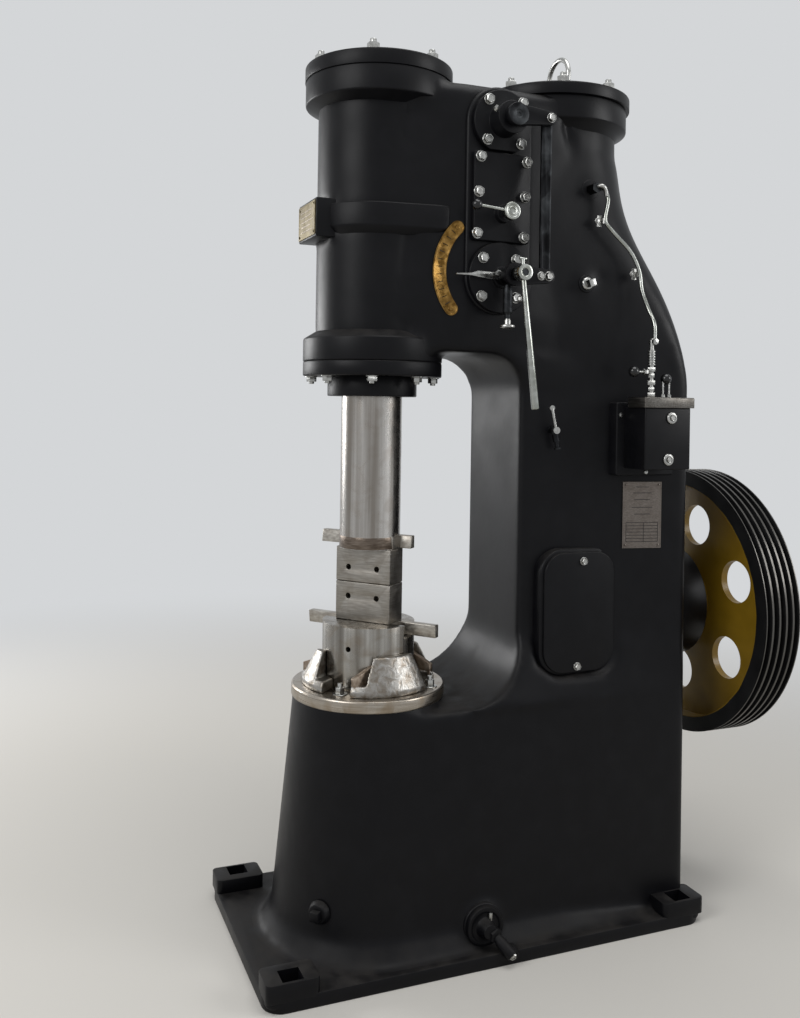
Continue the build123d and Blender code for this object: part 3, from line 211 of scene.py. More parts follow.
# Bare metals: each has its own tool marks, stretched noise along the way the tool ran, and stains; the sow
# block's bar has painted reflection bands in place of tool marks.
# name: light, dark and stain colours, share of stain, grain in mm along X, Y and Z, least and most roughness,
# depth of the marks in mm
stainScale = 28.0  # blotches about 36 mm across
metals = {
    # hard ground ram: bright, with streaks along the stroke and brown oil film
    "polishedRam": ("#bdbab6", "#88827b", "#75685c", 0.35, (20, 20, 800), 0.18, 0.32, 0.03),
    # surface ground dies: fine even scratches across the face, small dark specks
    "groundSteel": ("#9d9992", "#86817a", "#6c6359", 0.40, (30, 30, 2), 0.30, 0.44, 0.03),
    # lathe turned iron: close rings, tan oil stain
    "turnedIron": ("#b0a99f", "#958d82", "#7d6a50", 0.60, (90, 90, 2.2), 0.22, 0.38, 0.04),
    # sow block's bar: the bright and dull bands that run up and down it are painted reflections
    "barWithPaintedReflections": ("#a9a6a0", "#716c65", "#6b5c49", 0.45, (16, 16, 700), 0.20, 0.34, 0.04),
    # forged cheeks of the collar, brown where they were never brushed
    "scaledForging": ("#a5988a", "#7c6d5f", "#5d4c3d", 0.55, (12, 12, 12), 0.36, 0.55, 0.2),
    # polished bar of the hand lever
    "polishedBar": ("#b2b4b0", "#94968f", "#74766f", 0.25, (20, 20, 20), 0.16, 0.28, 0.01),
    # milled forging, scale left in places
    "milledSteel": ("#b9b5ad", "#98928a", "#7a6f63", 0.45, (12, 12, 6), 0.30, 0.48, 0.08),
    # bright zinc plate on fasteners
    "zincPlate": ("#b9b9b6", "#a0a09d", "#7d7972", 0.30, (8, 8, 8), 0.22, 0.34, 0.01),
    # bare machined lid and fittings, dulled by oil
    "oiledSteel": ("#7f7c77", "#55524e", "#3c3833", 0.50, (50, 3, 3), 0.28, 0.44, 0.04),
    # black oxide with grey mill scale left in blotches
    "blackOxide": ("#2a2b2d", "#151516", "#55585a", 0.45, (20, 20, 80), 0.34, 0.52, 0.06),
    # hot turned band at the ram's foot, browned by scale
    "brownedSteel": ("#7d7268", "#5a4f46", "#40362e", 0.60, (20, 20, 2), 0.28, 0.44, 0.04),
    # etched sheet brass
    "brassSheet": ("#a8844a", "#6e5126", "#3a2812", 0.75, (12, 12, 12), 0.22, 0.40, 0.1),
    # pale brass of the front plate, rubbed dull
    "paleBrass": ("#746a50", "#5c533e", "#473e2b", 0.50, (12, 12, 12), 0.48, 0.62, 0.1),
    # brushed anodised aluminium sheet
    "plateAluminium": ("#7b746e", "#625b56", "#4b413b", 0.45, (1, 30, 1), 0.34, 0.46, 0.02),
}


def makeMetal(name):
    light, dark, spot, share, sizes, smooth, rough, depth = metals[name]
    material, tree, shader, place = startMaterial(name, {"Metallic": 1.0})
    lines = addNode(tree, "Mapping", {"Vector": place, "Scale": [1000 / size for size in sizes]})
    grain = addNode(tree, "TexNoise", {"Vector": lines, "Scale": 1.0, "Detail": 4.0})
    cloud = addNode(tree, "TexNoise", {"Vector": place, "Scale": stainScale, "Detail": 6.0,
                                       "Distortion": 0.6})
    tone = addNode(tree, "MapRange", {0: grain, 1: 0.35, 2: 0.68})
    base = addNode(tree, "Mix", {0: tone, 6: linear(dark), 7: linear(light)}, data_type="RGBA")
    stain = addNode(tree, "MapRange", {0: cloud, 1: 0.46, 2: 0.72, 4: share})
    colour = addNode(tree, "Mix", {0: stain, 6: base, 7: linear(spot)}, data_type="RGBA")
    both = addNode(tree, "Math", {0: grain, 1: cloud}, operation="ADD")
    gloss = addNode(tree, "MapRange", {0: both, 1: 0.75, 2: 1.25, 3: smooth, 4: rough})
    bump = addNode(tree, "Bump", {"Height": grain, "Strength": 0.8, "Distance": depth / 1000})
    link(tree, shader, {"Base Color": colour, "Roughness": gloss, "Normal": bump})
    return material


# Cast collar left as it came from the sand: pitted and lumpy, wire brushed bright, brown in the hollows
castBright = {
    "lump": 0.016, "lumpDeep": 0.0020, "grit": 0.0025, "gritDeep": 0.0002, "hollow": "#7b7369",
    "brushed": "#9c9a96", "smooth": 0.26, "dull": 0.44,
}


def makeCastBright():
    look = castBright
    material, tree, shader, place = startMaterial("brightCasting", {"Metallic": 1.0})
    lump = addNode(tree, "TexNoise", {"Vector": place, "Scale": 1 / look["lump"], "Detail": 5.0,
                                      "Distortion": 0.5})
    grit = addNode(tree, "TexNoise", {"Vector": place, "Scale": 1 / look["grit"], "Detail": 3.0})
    tone = addNode(tree, "MapRange", {0: lump, 1: 0.36, 2: 0.62})
    colour = addNode(tree, "Mix", {0: tone, 6: linear(look["hollow"]), 7: linear(look["brushed"])},
                     data_type="RGBA")
    rough = addNode(tree, "MapRange", {0: grit, 1: 0.3, 2: 0.7, 3: look["smooth"], 4: look["dull"]})
    slow = addNode(tree, "Bump", {"Height": lump, "Strength": 0.8, "Distance": look["lumpDeep"]})
    fine = addNode(tree, "Bump", {"Height": grit, "Strength": 0.4, "Distance": look["gritDeep"],
                                  "Normal": slow})
    link(tree, shader, {"Base Color": colour, "Roughness": rough, "Normal": fine})
    return material


# Belt pulley: ochre brush paint on the web, black on the rim face, and bare turned iron in the grooves
pulleyLook = {
    "axisZ": 0.706, "paintRadius": 0.3020, "lobe": 0.0012,
    "ochre": "#6a5210", "ochreLight": "#8a6c18", "black": "#121213", "land": 0.3370, "landIron": "#5d5b58",
    "brush": 0.05, "brushDeep": 0.0004, "smooth": 0.28, "dull": 0.44,
}


def makePulleyPaint():
    look = pulleyLook
    material, tree, shader, place = startMaterial("ochrePaintOnIron", {"Specular IOR Level": 0.4})
    parts = addNode(tree, "SeparateXYZ", {0: place})
    high = addNode(tree, "Math", {0: parts.outputs["Z"], 1: look["axisZ"]}, operation="SUBTRACT")
    flat = addNode(tree, "CombineXYZ", {"X": parts.outputs["X"], "Y": high})
    radius = addNode(tree, "VectorMath", {0: flat}, operation="LENGTH")
    brush = addNode(tree, "TexNoise", {"Vector": place, "Scale": 1 / look["brush"], "Detail": 4.0})
    drift = addNode(tree, "MapRange", {0: brush, 1: 0.3, 2: 0.7, 3: -look["lobe"],
                                       4: look["lobe"]})
    edge = addNode(tree, "Math", {0: radius, 1: drift}, operation="ADD")
    rim = addNode(tree, "Math", {0: edge, 1: look["paintRadius"]}, operation="GREATER_THAN")
    ochre = addNode(tree, "Mix", {0: brush, 6: linear(look["ochre"]),
                                  7: linear(look["ochreLight"])}, data_type="RGBA")
    colour = addNode(tree, "Mix", {0: rim, 6: ochre, 7: linear(look["black"])}, data_type="RGBA")
    land = addNode(tree, "Math", {0: radius, 1: look["land"]}, operation="GREATER_THAN")
    colour = addNode(tree, "Mix", {0: land, 6: colour, 7: linear(look["landIron"])}, data_type="RGBA")
    rough = addNode(tree, "MapRange", {0: brush, 1: 0.3, 2: 0.7, 3: look["smooth"], 4: look["dull"]})
    bump = addNode(tree, "Bump", {"Height": brush, "Strength": 0.6, "Distance": look["brushDeep"]})
    link(tree, shader, {"Metallic": land, "Base Color": colour, "Roughness": rough, "Normal": bump})
    return material


# Moulded phenolic knobs: black, glossy, with handling marks
phenolic = {"colour": "#0d0d0e", "mark": 0.006, "markDeep": 0.00005, "smooth": 0.10, "dull": 0.22}


def makePhenolic():
    look = phenolic
    material, tree, shader, place = startMaterial("blackPhenolic", {"Base Color": linear(look["colour"])})
    marks = addNode(tree, "TexNoise", {"Vector": place, "Scale": 1 / look["mark"], "Detail": 4.0})
    rough = addNode(tree, "MapRange", {0: marks, 1: 0.3, 2: 0.7, 3: look["smooth"], 4: look["dull"]})
    bump = addNode(tree, "Bump", {"Height": marks, "Strength": 0.3, "Distance": look["markDeep"]})
    link(tree, shader, {"Roughness": rough, "Normal": bump})
    return material


finish = {name: makeMetal(name) for name in metals}
finish["enamel"] = makeEnamel()
finish["castBright"] = makeCastBright()
finish["pulleyPaint"] = makePulleyPaint()
finish["phenolic"] = makePhenolic()
print("materials ready:", len(finish))


# Shared modelling helpers

record = frame["record"]
bodyOf = {node: body for body, nodes in record["behaviour"]["bodies"].items() for node in nodes}
sameSpot = 1e-6  # points nearer than this are merged
washerThick = 0.0022


def register(piece, node, body="frame"):
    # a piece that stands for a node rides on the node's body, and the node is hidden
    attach(piece, bodyOf[node] if node else body)
    if node:
        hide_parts(node)
    return piece


def keepPiece(bm, name, look, body="frame", node=None, sharp=34):
    bmesh.ops.remove_doubles(bm, verts=bm.verts, dist=sameSpot)
    bmesh.ops.recalc_face_normals(bm, faces=bm.faces)
    mesh = bpy.data.meshes.new(name)
    bm.to_mesh(mesh)
    bm.free()
    mesh.materials.append(finish[look])
    mesh.shade_smooth()
    mesh.set_sharp_from_angle(angle=math.radians(sharp))
    piece = bpy.data.objects.new(name, mesh)
    bpy.context.scene.collection.objects.link(piece)
    return register(piece, node, body)


def spun(degrees):
    return Matrix.Rotation(math.radians(degrees), 4, "Z")


def placeAt(point, outward=(1, 0, 0), turn=0.0):
    # matrix that stands a part made along local Z on a point, facing outward; the valve gear faces +X
    aim = Vector(outward).to_track_quat("Z", "Y").to_matrix().to_4x4()
    return Matrix.Translation(point) @ aim @ Matrix.Rotation(turn, 4, "Z")


def stamp(bm, part, *places):
    # adds copies of a finished part to a piece
    mesh = bpy.data.meshes.new("part")
    part.to_mesh(mesh)
    part.free()
    for place in places:
        copy = mesh.copy()
        copy.transform(place)
        bm.from_mesh(copy)
        bpy.data.meshes.remove(copy)
    bpy.data.meshes.remove(mesh)


def joined(*parts):
    # one piece out of finished parts, each followed by the places where it stands
    bm = bmesh.new()
    for part, *places in parts:
        stamp(bm, part, *places)
    return bm


def bevelEdges(bm, edges, width, segments):
    bmesh.ops.bevel(bm, geom=edges, offset=width, offset_type="OFFSET", affect="EDGES", segments=segments,
                    profile=0.5, material=-1, clamp_overlap=True)


def bevelSharp(bm, width, segments=2, angle=28):
    limit = math.radians(angle)
    sharp = [e for e in bm.edges if len(e.link_faces) == 2 and e.calc_face_angle(0) > limit]
    bevelEdges(bm, sharp, width, segments)


def turnedPart(profile, steps=40, edge=0.0, segments=2):
    # spins (radius, height) points about the local Z axis
    bm = bmesh.new()
    points = [bm.verts.new((radius, 0, height)) for radius, height in profile]
    lines = [bm.edges.new(pair) for pair in zip(points, points[1:])]
    bmesh.ops.spin(bm, geom=points + lines, cent=(0, 0, 0), axis=(0, 0, 1), angle=2 * math.pi, steps=steps,
                   use_merge=True)
    bmesh.ops.remove_doubles(bm, verts=bm.verts, dist=sameSpot)
    bmesh.ops.recalc_face_normals(bm, faces=bm.faces)
    if edge:
        bevelSharp(bm, edge, segments)
    return bm


def rodPart(radius, low, high, steps=16, edge=0.0, segments=2):
    return turnedPart([(0, low), (radius, low), (radius, high), (0, high)], steps, edge, segments)


def ringPart(inner, outer, low, high, steps, edge=0.0):
    return turnedPart([(inner, low), (outer, low), (outer, high), (inner, high), (inner, low)], steps, edge)


def boxPart(low, high, edge=0.0, segments=2):
    bm = bmesh.new()
    bmesh.ops.create_cube(bm, size=1.0)
    bmesh.ops.scale(bm, vec=[b - a for a, b in zip(low, high)], verts=bm.verts)
    bmesh.ops.translate(bm, vec=[(a + b) / 2 for a, b in zip(low, high)], verts=bm.verts)
    if edge:
        bevelSharp(bm, edge, segments)
    return bm


def ballPart(radius, around=28, up=18):
    bm = bmesh.new()
    bmesh.ops.create_uvsphere(bm, u_segments=around, v_segments=up, radius=radius)
    return bm


def hexPart(flats, low, high, edge, dish=0.0):
    # six-sided prism with broken edges, and a round dish in the top for a cast head
    bm = bmesh.new()
    corner = flats / math.sqrt(3)
    bmesh.ops.create_cone(bm, cap_ends=True, segments=6, radius1=corner, radius2=corner, depth=high - low)
    bmesh.ops.translate(bm, vec=(0, 0, (low + high) / 2), verts=bm.verts)
    bevelEdges(bm, [e for e in bm.edges if abs(e.verts[0].co.z - e.verts[1].co.z) < 1e-9], edge, 2)
    if dish:
        top = [f for f in bm.faces if f.normal.z > 0.9 and f.calc_center_median().z > (low + high) / 2]
        bmesh.ops.inset_region(bm, faces=top, thickness=flats * 0.14, depth=0)
        bmesh.ops.inset_region(bm, faces=top, thickness=flats * 0.05, depth=-dish)
    return bm


def tubePart(points, radius):
    # smooth round rod through points
    curve = bpy.data.curves.new("rod", "CURVE")
    curve.dimensions = "3D"
    curve.bevel_depth, curve.bevel_resolution, curve.use_fill_caps = radius, 4, True
    spline = curve.splines.new("NURBS")
    spline.points.add(len(points) - 1)
    for point, place in zip(spline.points, points):
        point.co = (*place, 1)
    spline.order_u, spline.use_endpoint_u, spline.resolution_u = 3, True, 8
    holder = bpy.data.objects.new("rod", curve)
    mesh = bpy.data.meshes.new_from_object(holder)
    bm = bmesh.new()
    bm.from_mesh(mesh)
    bpy.data.objects.remove(holder)
    bpy.data.curves.remove(curve)
    bpy.data.meshes.remove(mesh)
    return bm


def mergedCopy(node, flat=False):
    # the node's own shape, with its flat faces made whole where they are needed
    bm = bmesh.new()
    bm.from_mesh(frame["nodes"][node].data)
    bmesh.ops.remove_doubles(bm, verts=bm.verts, dist=1e-5)
    if flat:
        bmesh.ops.dissolve_limit(bm, angle_limit=math.radians(0.6), verts=bm.verts, edges=bm.edges)
    return bm


def dress(node, look):
    holder = frame["nodes"][node]
    if not holder.material_slots:
        holder.data.materials.append(finish[look])
    for slot in holder.material_slots:
        slot.material = finish[look]


def thicken(bm, vec):
    # draws a flat part out into a slab
    raised = bmesh.ops.extrude_face_region(bm, geom=bm.faces[:])["geom"]
    bmesh.ops.translate(bm, vec=vec, verts=[g for g in raised if isinstance(g, bmesh.types.BMVert)])
    bmesh.ops.recalc_face_normals(bm, faces=bm.faces)


def sinkFace(bm, out, border, step):
    # sinks the faces that look out by a step, inside a border that stays
    bm.normal_update()
    top = [f for f in bm.faces if f.normal.dot(out) > 0.99]
    bmesh.ops.inset_region(bm, faces=top, thickness=border, depth=0)
    bmesh.ops.inset_region(bm, faces=top, thickness=step, depth=-step)


def roundBox(low, high, corner, edge, steps=8):
    # box with round upright corners and broken top and bottom rims
    bm = boxPart(low, high)
    bevelEdges(bm, [e for e in bm.edges if abs(e.verts[0].co.z - e.verts[1].co.z) > sameSpot], corner, steps)
    bevelSharp(bm, edge, 2, angle=50)
    return bm


def stadium(radius, length, depth, edge, steps=64):
    # slot-shaped slab about the origin: its length along local Y, its thickness along local Z
    bm = bmesh.new()
    bmesh.ops.create_circle(bm, cap_ends=True, segments=steps, radius=radius)
    bmesh.ops.rotate(bm, cent=(0, 0, 0), matrix=Matrix.Rotation(math.pi / steps, 3, "Z"), verts=bm.verts)
    for v in bm.verts:
        v.co.y += math.copysign(length / 2, v.co.y)
    thicken(bm, (0, 0, depth))
    bevelSharp(bm, edge, 4, angle=50)
    return bm


def hexBolt(flats, height, washer=0.0, dish=0.0):
    # head standing on the seat at z = 0, with its washer
    bm = bmesh.new()
    if washer:
        stamp(bm, rodPart(washer, 0, washerThick, 28, 0.0005, 1), Matrix())
    stamp(bm, hexPart(flats, 0.0, height, flats * 0.07, dish), Matrix())
    return bm


def studAndNut(flats, height, tip, washer):
    bm = hexBolt(flats, height, washer)
    radius = flats * 0.31
    stamp(bm, rodPart(radius, 0, height + tip, 20, radius * 0.25, 2), Matrix())
    return bm


def carve(bm, *cutters):
    # boolean difference with finished cutter parts
    made = []
    for part in (bm, *cutters):
        mesh = bpy.data.meshes.new("carved")
        part.to_mesh(mesh)
        part.free()
        made.append(bpy.data.objects.new("carved", mesh))
        bpy.context.scene.collection.objects.link(made[-1])
    for tool in made[1:]:
        cut = made[0].modifiers.new("cut", "BOOLEAN")
        cut.operation, cut.solver, cut.object = "DIFFERENCE", "EXACT", tool
    bpy.context.view_layer.update()
    result = bpy.data.meshes.new_from_object(made[0].evaluated_get(bpy.context.evaluated_depsgraph_get()))
    for spent in made:
        mesh = spent.data
        bpy.data.objects.remove(spent)
        bpy.data.meshes.remove(mesh)
    carved = bmesh.new()
    carved.from_mesh(result)
    bpy.data.meshes.remove(result)
    return carved


def flowed(bm, name, look, shape, node):
    # voxel remesh and smoothing: the soft radii of a casting
    mesh = bpy.data.meshes.new(name)
    bm.to_mesh(mesh)
    bm.free()
    piece = bpy.data.objects.new(name, mesh)
    bpy.context.scene.collection.objects.link(piece)
    remesh = piece.modifiers.new("remesh", "REMESH")
    remesh.mode, remesh.voxel_size = "VOXEL", shape["voxel"]
    flow = piece.modifiers.new("flow", "SMOOTH")
    flow.factor, flow.iterations = 0.5, shape["rounds"]
    bpy.context.view_layer.update()
    shaped = bpy.data.meshes.new_from_object(piece.evaluated_get(bpy.context.evaluated_depsgraph_get()))
    piece.modifiers.clear()
    piece.data = shaped
    bpy.data.meshes.remove(mesh)
    shaped.name = name
    shaped.materials.clear()
    shaped.materials.append(finish[look])
    shaped.shade_smooth()
    return register(piece, node)


# Frame casting: machined rims, pads and seats are drawn back into the solid, then it is flowed over
# into the soft radii of a filled and painted casting; the crisp parts follow as pieces of their own

casting = {
    "voxel": 0.0078, "rounds": 14, "plateCut": 0.006, "plateTop": 0.028, "pocketTop": 0.060,
    "pocketFrom": 0.19, "cylinderFoot": 1.29, "cylinderRear": 0.034, "barrel": 0.133, "barrelPlain": 0.131,
    "proud": 0.004, "headFoot": 1.86, "headFront": 0.40, "rearBarrel": 0.154, "rearPlain": 0.152,
    "rearY": 0.465,
    "columnTop": 0.538, "columnRaised": 0.553, "columnRadius": 0.173,
    # belt along the neck: from and to in Z and in Y, its own half width and the neck's
    "runZ": (1.585, 1.652), "runY": (0.03, 0.12), "runHalf": 0.152, "runBack": 0.150,
    "padFace": 0.172, "neckFace": 0.1635, "oilerFace": 0.206, "blockFace": -0.161, "blockBack": -0.125,
    "wallFront": 0.317, "wallHalf": 0.135, "wallSlope": 0.18660,
    "bore": 0.103, "boreZ": (1.306, 1.930),
}


def sideWall(y):
    return casting["wallHalf"] + (y - casting["wallFront"]) * casting["wallSlope"]


def same(value, target, slack=1e-4):
    return abs(value - target) < slack


def drawBack(bm):
    shape = casting
    (runFoot, runTop), (runFront, runRear) = shape["runZ"], shape["runY"]
    for v in bm.verts:
        x, y, z = v.co
        front, rear = math.hypot(x, y), math.hypot(x, y - shape["rearY"])
        high, block = z > shape["cylinderFoot"], same(y, shape["blockFace"])
        if high and block:
            v.co.y = shape["blockBack"]
        elif high and y < shape["cylinderRear"] and front > shape["barrel"] + shape["proud"]:
            v.co.x, v.co.y = x * shape["barrelPlain"] / front, y * shape["barrelPlain"] / front
        elif runFoot < z < runTop and runFront < y < runRear and abs(x) > shape["runHalf"]:
            v.co.x = math.copysign(shape["runBack"], x)
        elif z > shape["headFoot"] and y > shape["headFront"] and rear > shape["rearBarrel"] + shape["proud"]:
            v.co.x = x * shape["rearPlain"] / rear
            v.co.y = shape["rearY"] + (y - shape["rearY"]) * shape["rearPlain"] / rear
        elif same(x, shape["padFace"]):
            v.co.x = shape["neckFace"] if high else sideWall(y)
        elif same(x, shape["oilerFace"]):
            v.co.x = sideWall(y)
        elif same(z, shape["columnTop"]) and same(front, shape["columnRadius"], 1e-3):
            v.co.z = shape["columnRaised"]
        elif same(z, shape["pocketTop"]) and abs(x) > shape["pocketFrom"]:
            v.co.z = shape["plateTop"]


def makeCastBody():
    bm = mergedCopy("frame_casting")
    drawBack(bm)
    cut = bmesh.ops.bisect_plane(bm, geom=bm.verts[:] + bm.edges[:] + bm.faces[:],
                                 plane_co=(0, 0, casting["plateCut"]), plane_no=(0, 0, 1), clear_inner=True)
    rim = [e for e in cut["geom_cut"] if isinstance(e, bmesh.types.BMEdge)]
    bmesh.ops.triangle_fill(bm, edges=rim, use_beauty=True)
    # the bore is filled, so that the remesh doesn't thin the barrel
    low, high = casting["boreZ"]
    core = bmesh.new()
    bmesh.ops.create_cone(core, cap_ends=True, segments=48, radius1=casting["bore"], radius2=casting["bore"],
                          depth=high - low)
    stamp(bm, core, Matrix.Translation((0, 0, (low + high) / 2)))
    return flowed(bm, "castBody", "enamel", casting, "frame_casting")


castBody = makeCastBody()
print("casting:", len(castBody.data.polygons), "faces")


# Base plate with its four anchor pockets, burnt and ground to clean edges

base = {
    "half": 0.2686, "blockHalf": 0.269, "front": -0.300, "rear": 0.750, "thick": 0.0286, "corner": 0.042,
    "rim": 0.0022, "pocketWide": 0.074, "pocketLong": 0.112, "pocketFoot": 0.022, "pocketHigh": 0.060,
    "pocketCorner": 0.012, "pocketY": (-0.244, 0.694), "hole": 0.044, "holeX": 0.2405, "holeZ": (-0.01, 0.08),
}


def makeBasePlate():
    shape = base
    half, reach, (foot, top) = shape["half"], shape["hole"] / 2, shape["holeZ"]
    wide, long = shape["pocketWide"] / 2, shape["pocketLong"] / 2
    blocks, holes = [], []
    for side in (-1, 1):
        middle, x = side * (shape["blockHalf"] - wide), side * shape["holeX"]
        for y in shape["pocketY"]:
            blocks.append(roundBox((middle - wide, y - long, shape["pocketFoot"]),
                                   (middle + wide, y + long, shape["pocketHigh"]),
                                   shape["pocketCorner"], shape["rim"], 4))
            holes.append(((x - reach, y - reach, foot), (x + reach, y + reach, top)))
    plate = roundBox((-half, shape["front"], 0), (half, shape["rear"], shape["thick"]), shape["corner"],
                     shape["rim"])
    bm = joined((carve(plate, *[boxPart(*sides) for sides in holes]), Matrix()),
                *[(carve(block, boxPart(*sides)), Matrix()) for block, sides in zip(blocks, holes)])
    keepPiece(bm, "basePlate", "enamel", sharp=40)


makeBasePlate()
print("base plate ready")


# Rims of the two cylinders: sloping foot flange, belt that runs back along the neck, and head flanges

rims = {
    # each flange: its centre line's y, and (radius, height) from its root round
    "flanges": [
        (0.0, [(0.120, 1.299), (0.1603, 1.299), (0.1603, 1.350), (0.133, 1.367), (0.120, 1.371)]),
        (0.006, [(0.120, 1.860), (0.133, 1.866), (0.139, 1.870), (0.1683, 1.882),
                 (0.1683, 1.937), (0.120, 1.937)]),
        (0.465, [(0.142, 1.843), (0.154, 1.853), (0.160, 1.862), (0.1803, 1.874),
                 (0.1803, 1.927), (0.120, 1.927)]),
    ],
    "beltTurn": 6.7, "beltRadius": 0.1453, "beltEnds": [(0.1571, 0.099), (0.1564, 0.120)],
    "beltLevels": [(1.575, 0.90), (1.593, 1.0), (1.644, 1.0), (1.646, 0.90), (1.575, 0.90)],
    "edge": 0.0030,
}


def beltPart():
    # one point swept round the front, run straight back along the neck, then raised level by level
    bm = bmesh.new()
    turn, radius, levels = math.radians(rims["beltTurn"]), rims["beltRadius"], rims["beltLevels"]
    low, scale = levels[0]
    first = bm.verts.new((radius * math.cos(turn), -radius * math.sin(turn), low))
    bmesh.ops.spin(bm, geom=[first], cent=(0, 0, 0), axis=(0, 0, 1), angle=2 * turn - math.pi, steps=64)
    for end in [v for v in bm.verts if len(v.link_edges) == 1]:
        for half, reach in rims["beltEnds"]:
            end = bmesh.ops.extrude_vert_indiv(bm, verts=[end])["verts"][0]
            end.co = (math.copysign(half, end.co.x), reach, low)
    bmesh.ops.scale(bm, vec=(scale, scale, 1), verts=bm.verts)
    edges = bm.edges[:]
    for (z, wide), (nextZ, nextWide) in zip(levels, levels[1:]):
        made = bmesh.ops.extrude_edge_only(bm, edges=edges)["geom"]
        verts = [g for g in made if isinstance(g, bmesh.types.BMVert)]
        fresh = set(verts)
        edges = [g for g in made if isinstance(g, bmesh.types.BMEdge) and set(g.verts) <= fresh]
        bmesh.ops.scale(bm, vec=(nextWide / wide, nextWide / wide, 1), verts=verts)
        bmesh.ops.translate(bm, vec=(0, 0, nextZ - z), verts=verts)
    bmesh.ops.remove_doubles(bm, verts=bm.verts, dist=sameSpot)
    bmesh.ops.holes_fill(bm, edges=bm.edges)
    bmesh.ops.recalc_face_normals(bm, faces=bm.faces)
    bevelSharp(bm, rims["edge"], 3)
    return bm


def makeRims():
    flanges = [(turnedPart(profile + profile[:1], 112, rims["edge"], 3), Matrix.Translation((0, y, 0)))
               for y, profile in rims["flanges"]]
    bm = joined(*flanges, (beltPart(), Matrix()))
    keepPiece(bm, "cylinderRims", "enamel", sharp=50)


makeRims()


# Machined pads and bosses that stand proud of the casting on the valve side, and the block of the front plate

pads = {
    "back": 0.130, "valveY": 0.234, "valveLow": 1.489, "valveHigh": 1.836, "valveRadius": 0.082,
    "valveFace": 0.1722, "valveEdge": 0.0070,
    # access cover's and lubricator's slabs: front and rear, foot and top, face, corner, broken edge
    "slabs": [((0.353, 0.557), (0.582, 0.876), 0.1722, 0.060, 0.0045),
              ((0.530, 0.690), (1.046, 1.217), 0.2062, 0.005, 0.0028)],
    # bosses of the elbow, the shoulder plug and the drain: y, z, radius, face
    "bosses": [(0.478, 1.713, 0.024, 0.1625), (0.464, 1.491, 0.021, 0.1745), (0.195, 0.072, 0.047, 0.2243)],
    "bossFlare": 0.004, "block": ((-0.067, -0.1612, 1.570), (0.067, -0.100, 1.656)), "edge": 0.0025,
}


def makePads():
    shape, back = pads, pads["back"]
    stand = Matrix(((0, 0, 1), (1, 0, 0), (0, 1, 0))).to_4x4()  # local X rearwards, Y up, Z outwards
    length = shape["valveHigh"] - shape["valveLow"]
    middle = (back, shape["valveY"], (shape["valveHigh"] + shape["valveLow"]) / 2)
    bm = joined((stadium(shape["valveRadius"], length, shape["valveFace"] - back, shape["valveEdge"]),
                 Matrix.Translation(middle) @ stand))
    for (front, rear), (low, high), face, corner, edge in shape["slabs"]:
        # drawn lying down about the origin, then stood up on the side wall
        wide, tall = (rear - front) / 2, (high - low) / 2
        slab = roundBox((-wide, -tall, 0), (wide, tall, face - back), corner, edge, 10)
        stamp(bm, slab, Matrix.Translation((back, (front + rear) / 2, (low + high) / 2)) @ stand)
    for y, z, radius, face in shape["bosses"]:
        profile = [(0, 0), (radius + shape["bossFlare"], 0), (radius, face - back), (0, face - back)]
        stamp(bm, turnedPart(profile, 40, shape["edge"]), Matrix.Translation((back, y, z)) @ stand)
    stamp(bm, boxPart(*shape["block"], shape["edge"]), Matrix())
    keepPiece(bm, "castPads", "enamel", sharp=46)


makePads()
print("rims and pads ready")


# Nodes that keep the solid's own shape, with their sharp edges broken: finish, and width of the broken edge

edged = {
    "front_cylinder_cap": ("enamel", 0.0035), "compressor_cap": ("enamel", 0.0035),
    "cylinder_bottom_cover": ("enamel", 0.0030), "ram_gland": ("enamel", 0.0020),
    "bearing_housing": ("enamel", 0.0030), "upper_valve_cover": ("enamel", 0.0020),
    "middle_valve_cover": ("enamel", 0.0020), "lower_valve_cover": ("enamel", 0.0020),
    "access_cover": ("enamel", 0.0015), "lubricator_tank": ("enamel", 0.0015),
    "lubricator_lid": ("oiledSteel", 0.0012), "anvil_ring": ("turnedIron", 0.0032),
    # the sow block's finish carries painted reflection bands that run up and down it
    "sow_block": ("barWithPaintedReflections", 0.0020), "lower_die": ("groundSteel", 0.0018),
    "lower_key": ("milledSteel", 0.0016), "upper_die": ("groundSteel", 0.0018),
    "upper_key": ("milledSteel", 0.0016), "upper_valve_arm": ("enamel", 0.0016),
    "lower_valve_arm": ("enamel", 0.0016), "valve_link": ("blackOxide", 0.0010),
}

for node, (look, width) in edged.items():
    bm = mergedCopy(node, flat=True)
    bevelSharp(bm, width, 2, angle=40)
    keepPiece(bm, node + "Edged", look, node=node)
print("edges broken")


# Anvil collar: four cast clamps whose ends run down into low feet, a slanting forged cheek beside each gap,
# and the stud bolts in the gaps

collar = {
    "voxel": 0.0026, "rounds": 4, "gaps": (-50, 50, 130, 230), "plainGap": 50,
    # across the gap: from, to, and height that is left standing; the plain gap has no foot before it
    "feet": [(-0.057, -0.0290, 0.590), (0.0290, 0.0690, 0.590), (0.0290, 0.0390, 0.560)],
    "cutFrom": 0.070, "cutTo": 0.190, "cutTop": 0.700,
    # length from the outer end and height round the cheek's outline
    "cheek": [(0, 0.5662), (0.067, 0.5662), (0.067, 0.632), (0, 0.606)],
    "cheekThick": 0.012, "cheekEdge": 0.0016, "cheekEnd": (0.142, 0.048, 0), "cheekTurn": 160.1,
    # radius and angle of each stud, and across flats, height, tip and washer of its nut
    "studs": [(0.132, -47.5), (0.149, 50), (0.138, 130), (0.138, 230)],
    "ringTop": 0.566, "nut": (0.019, 0.016, 0.009, 0.017),
}


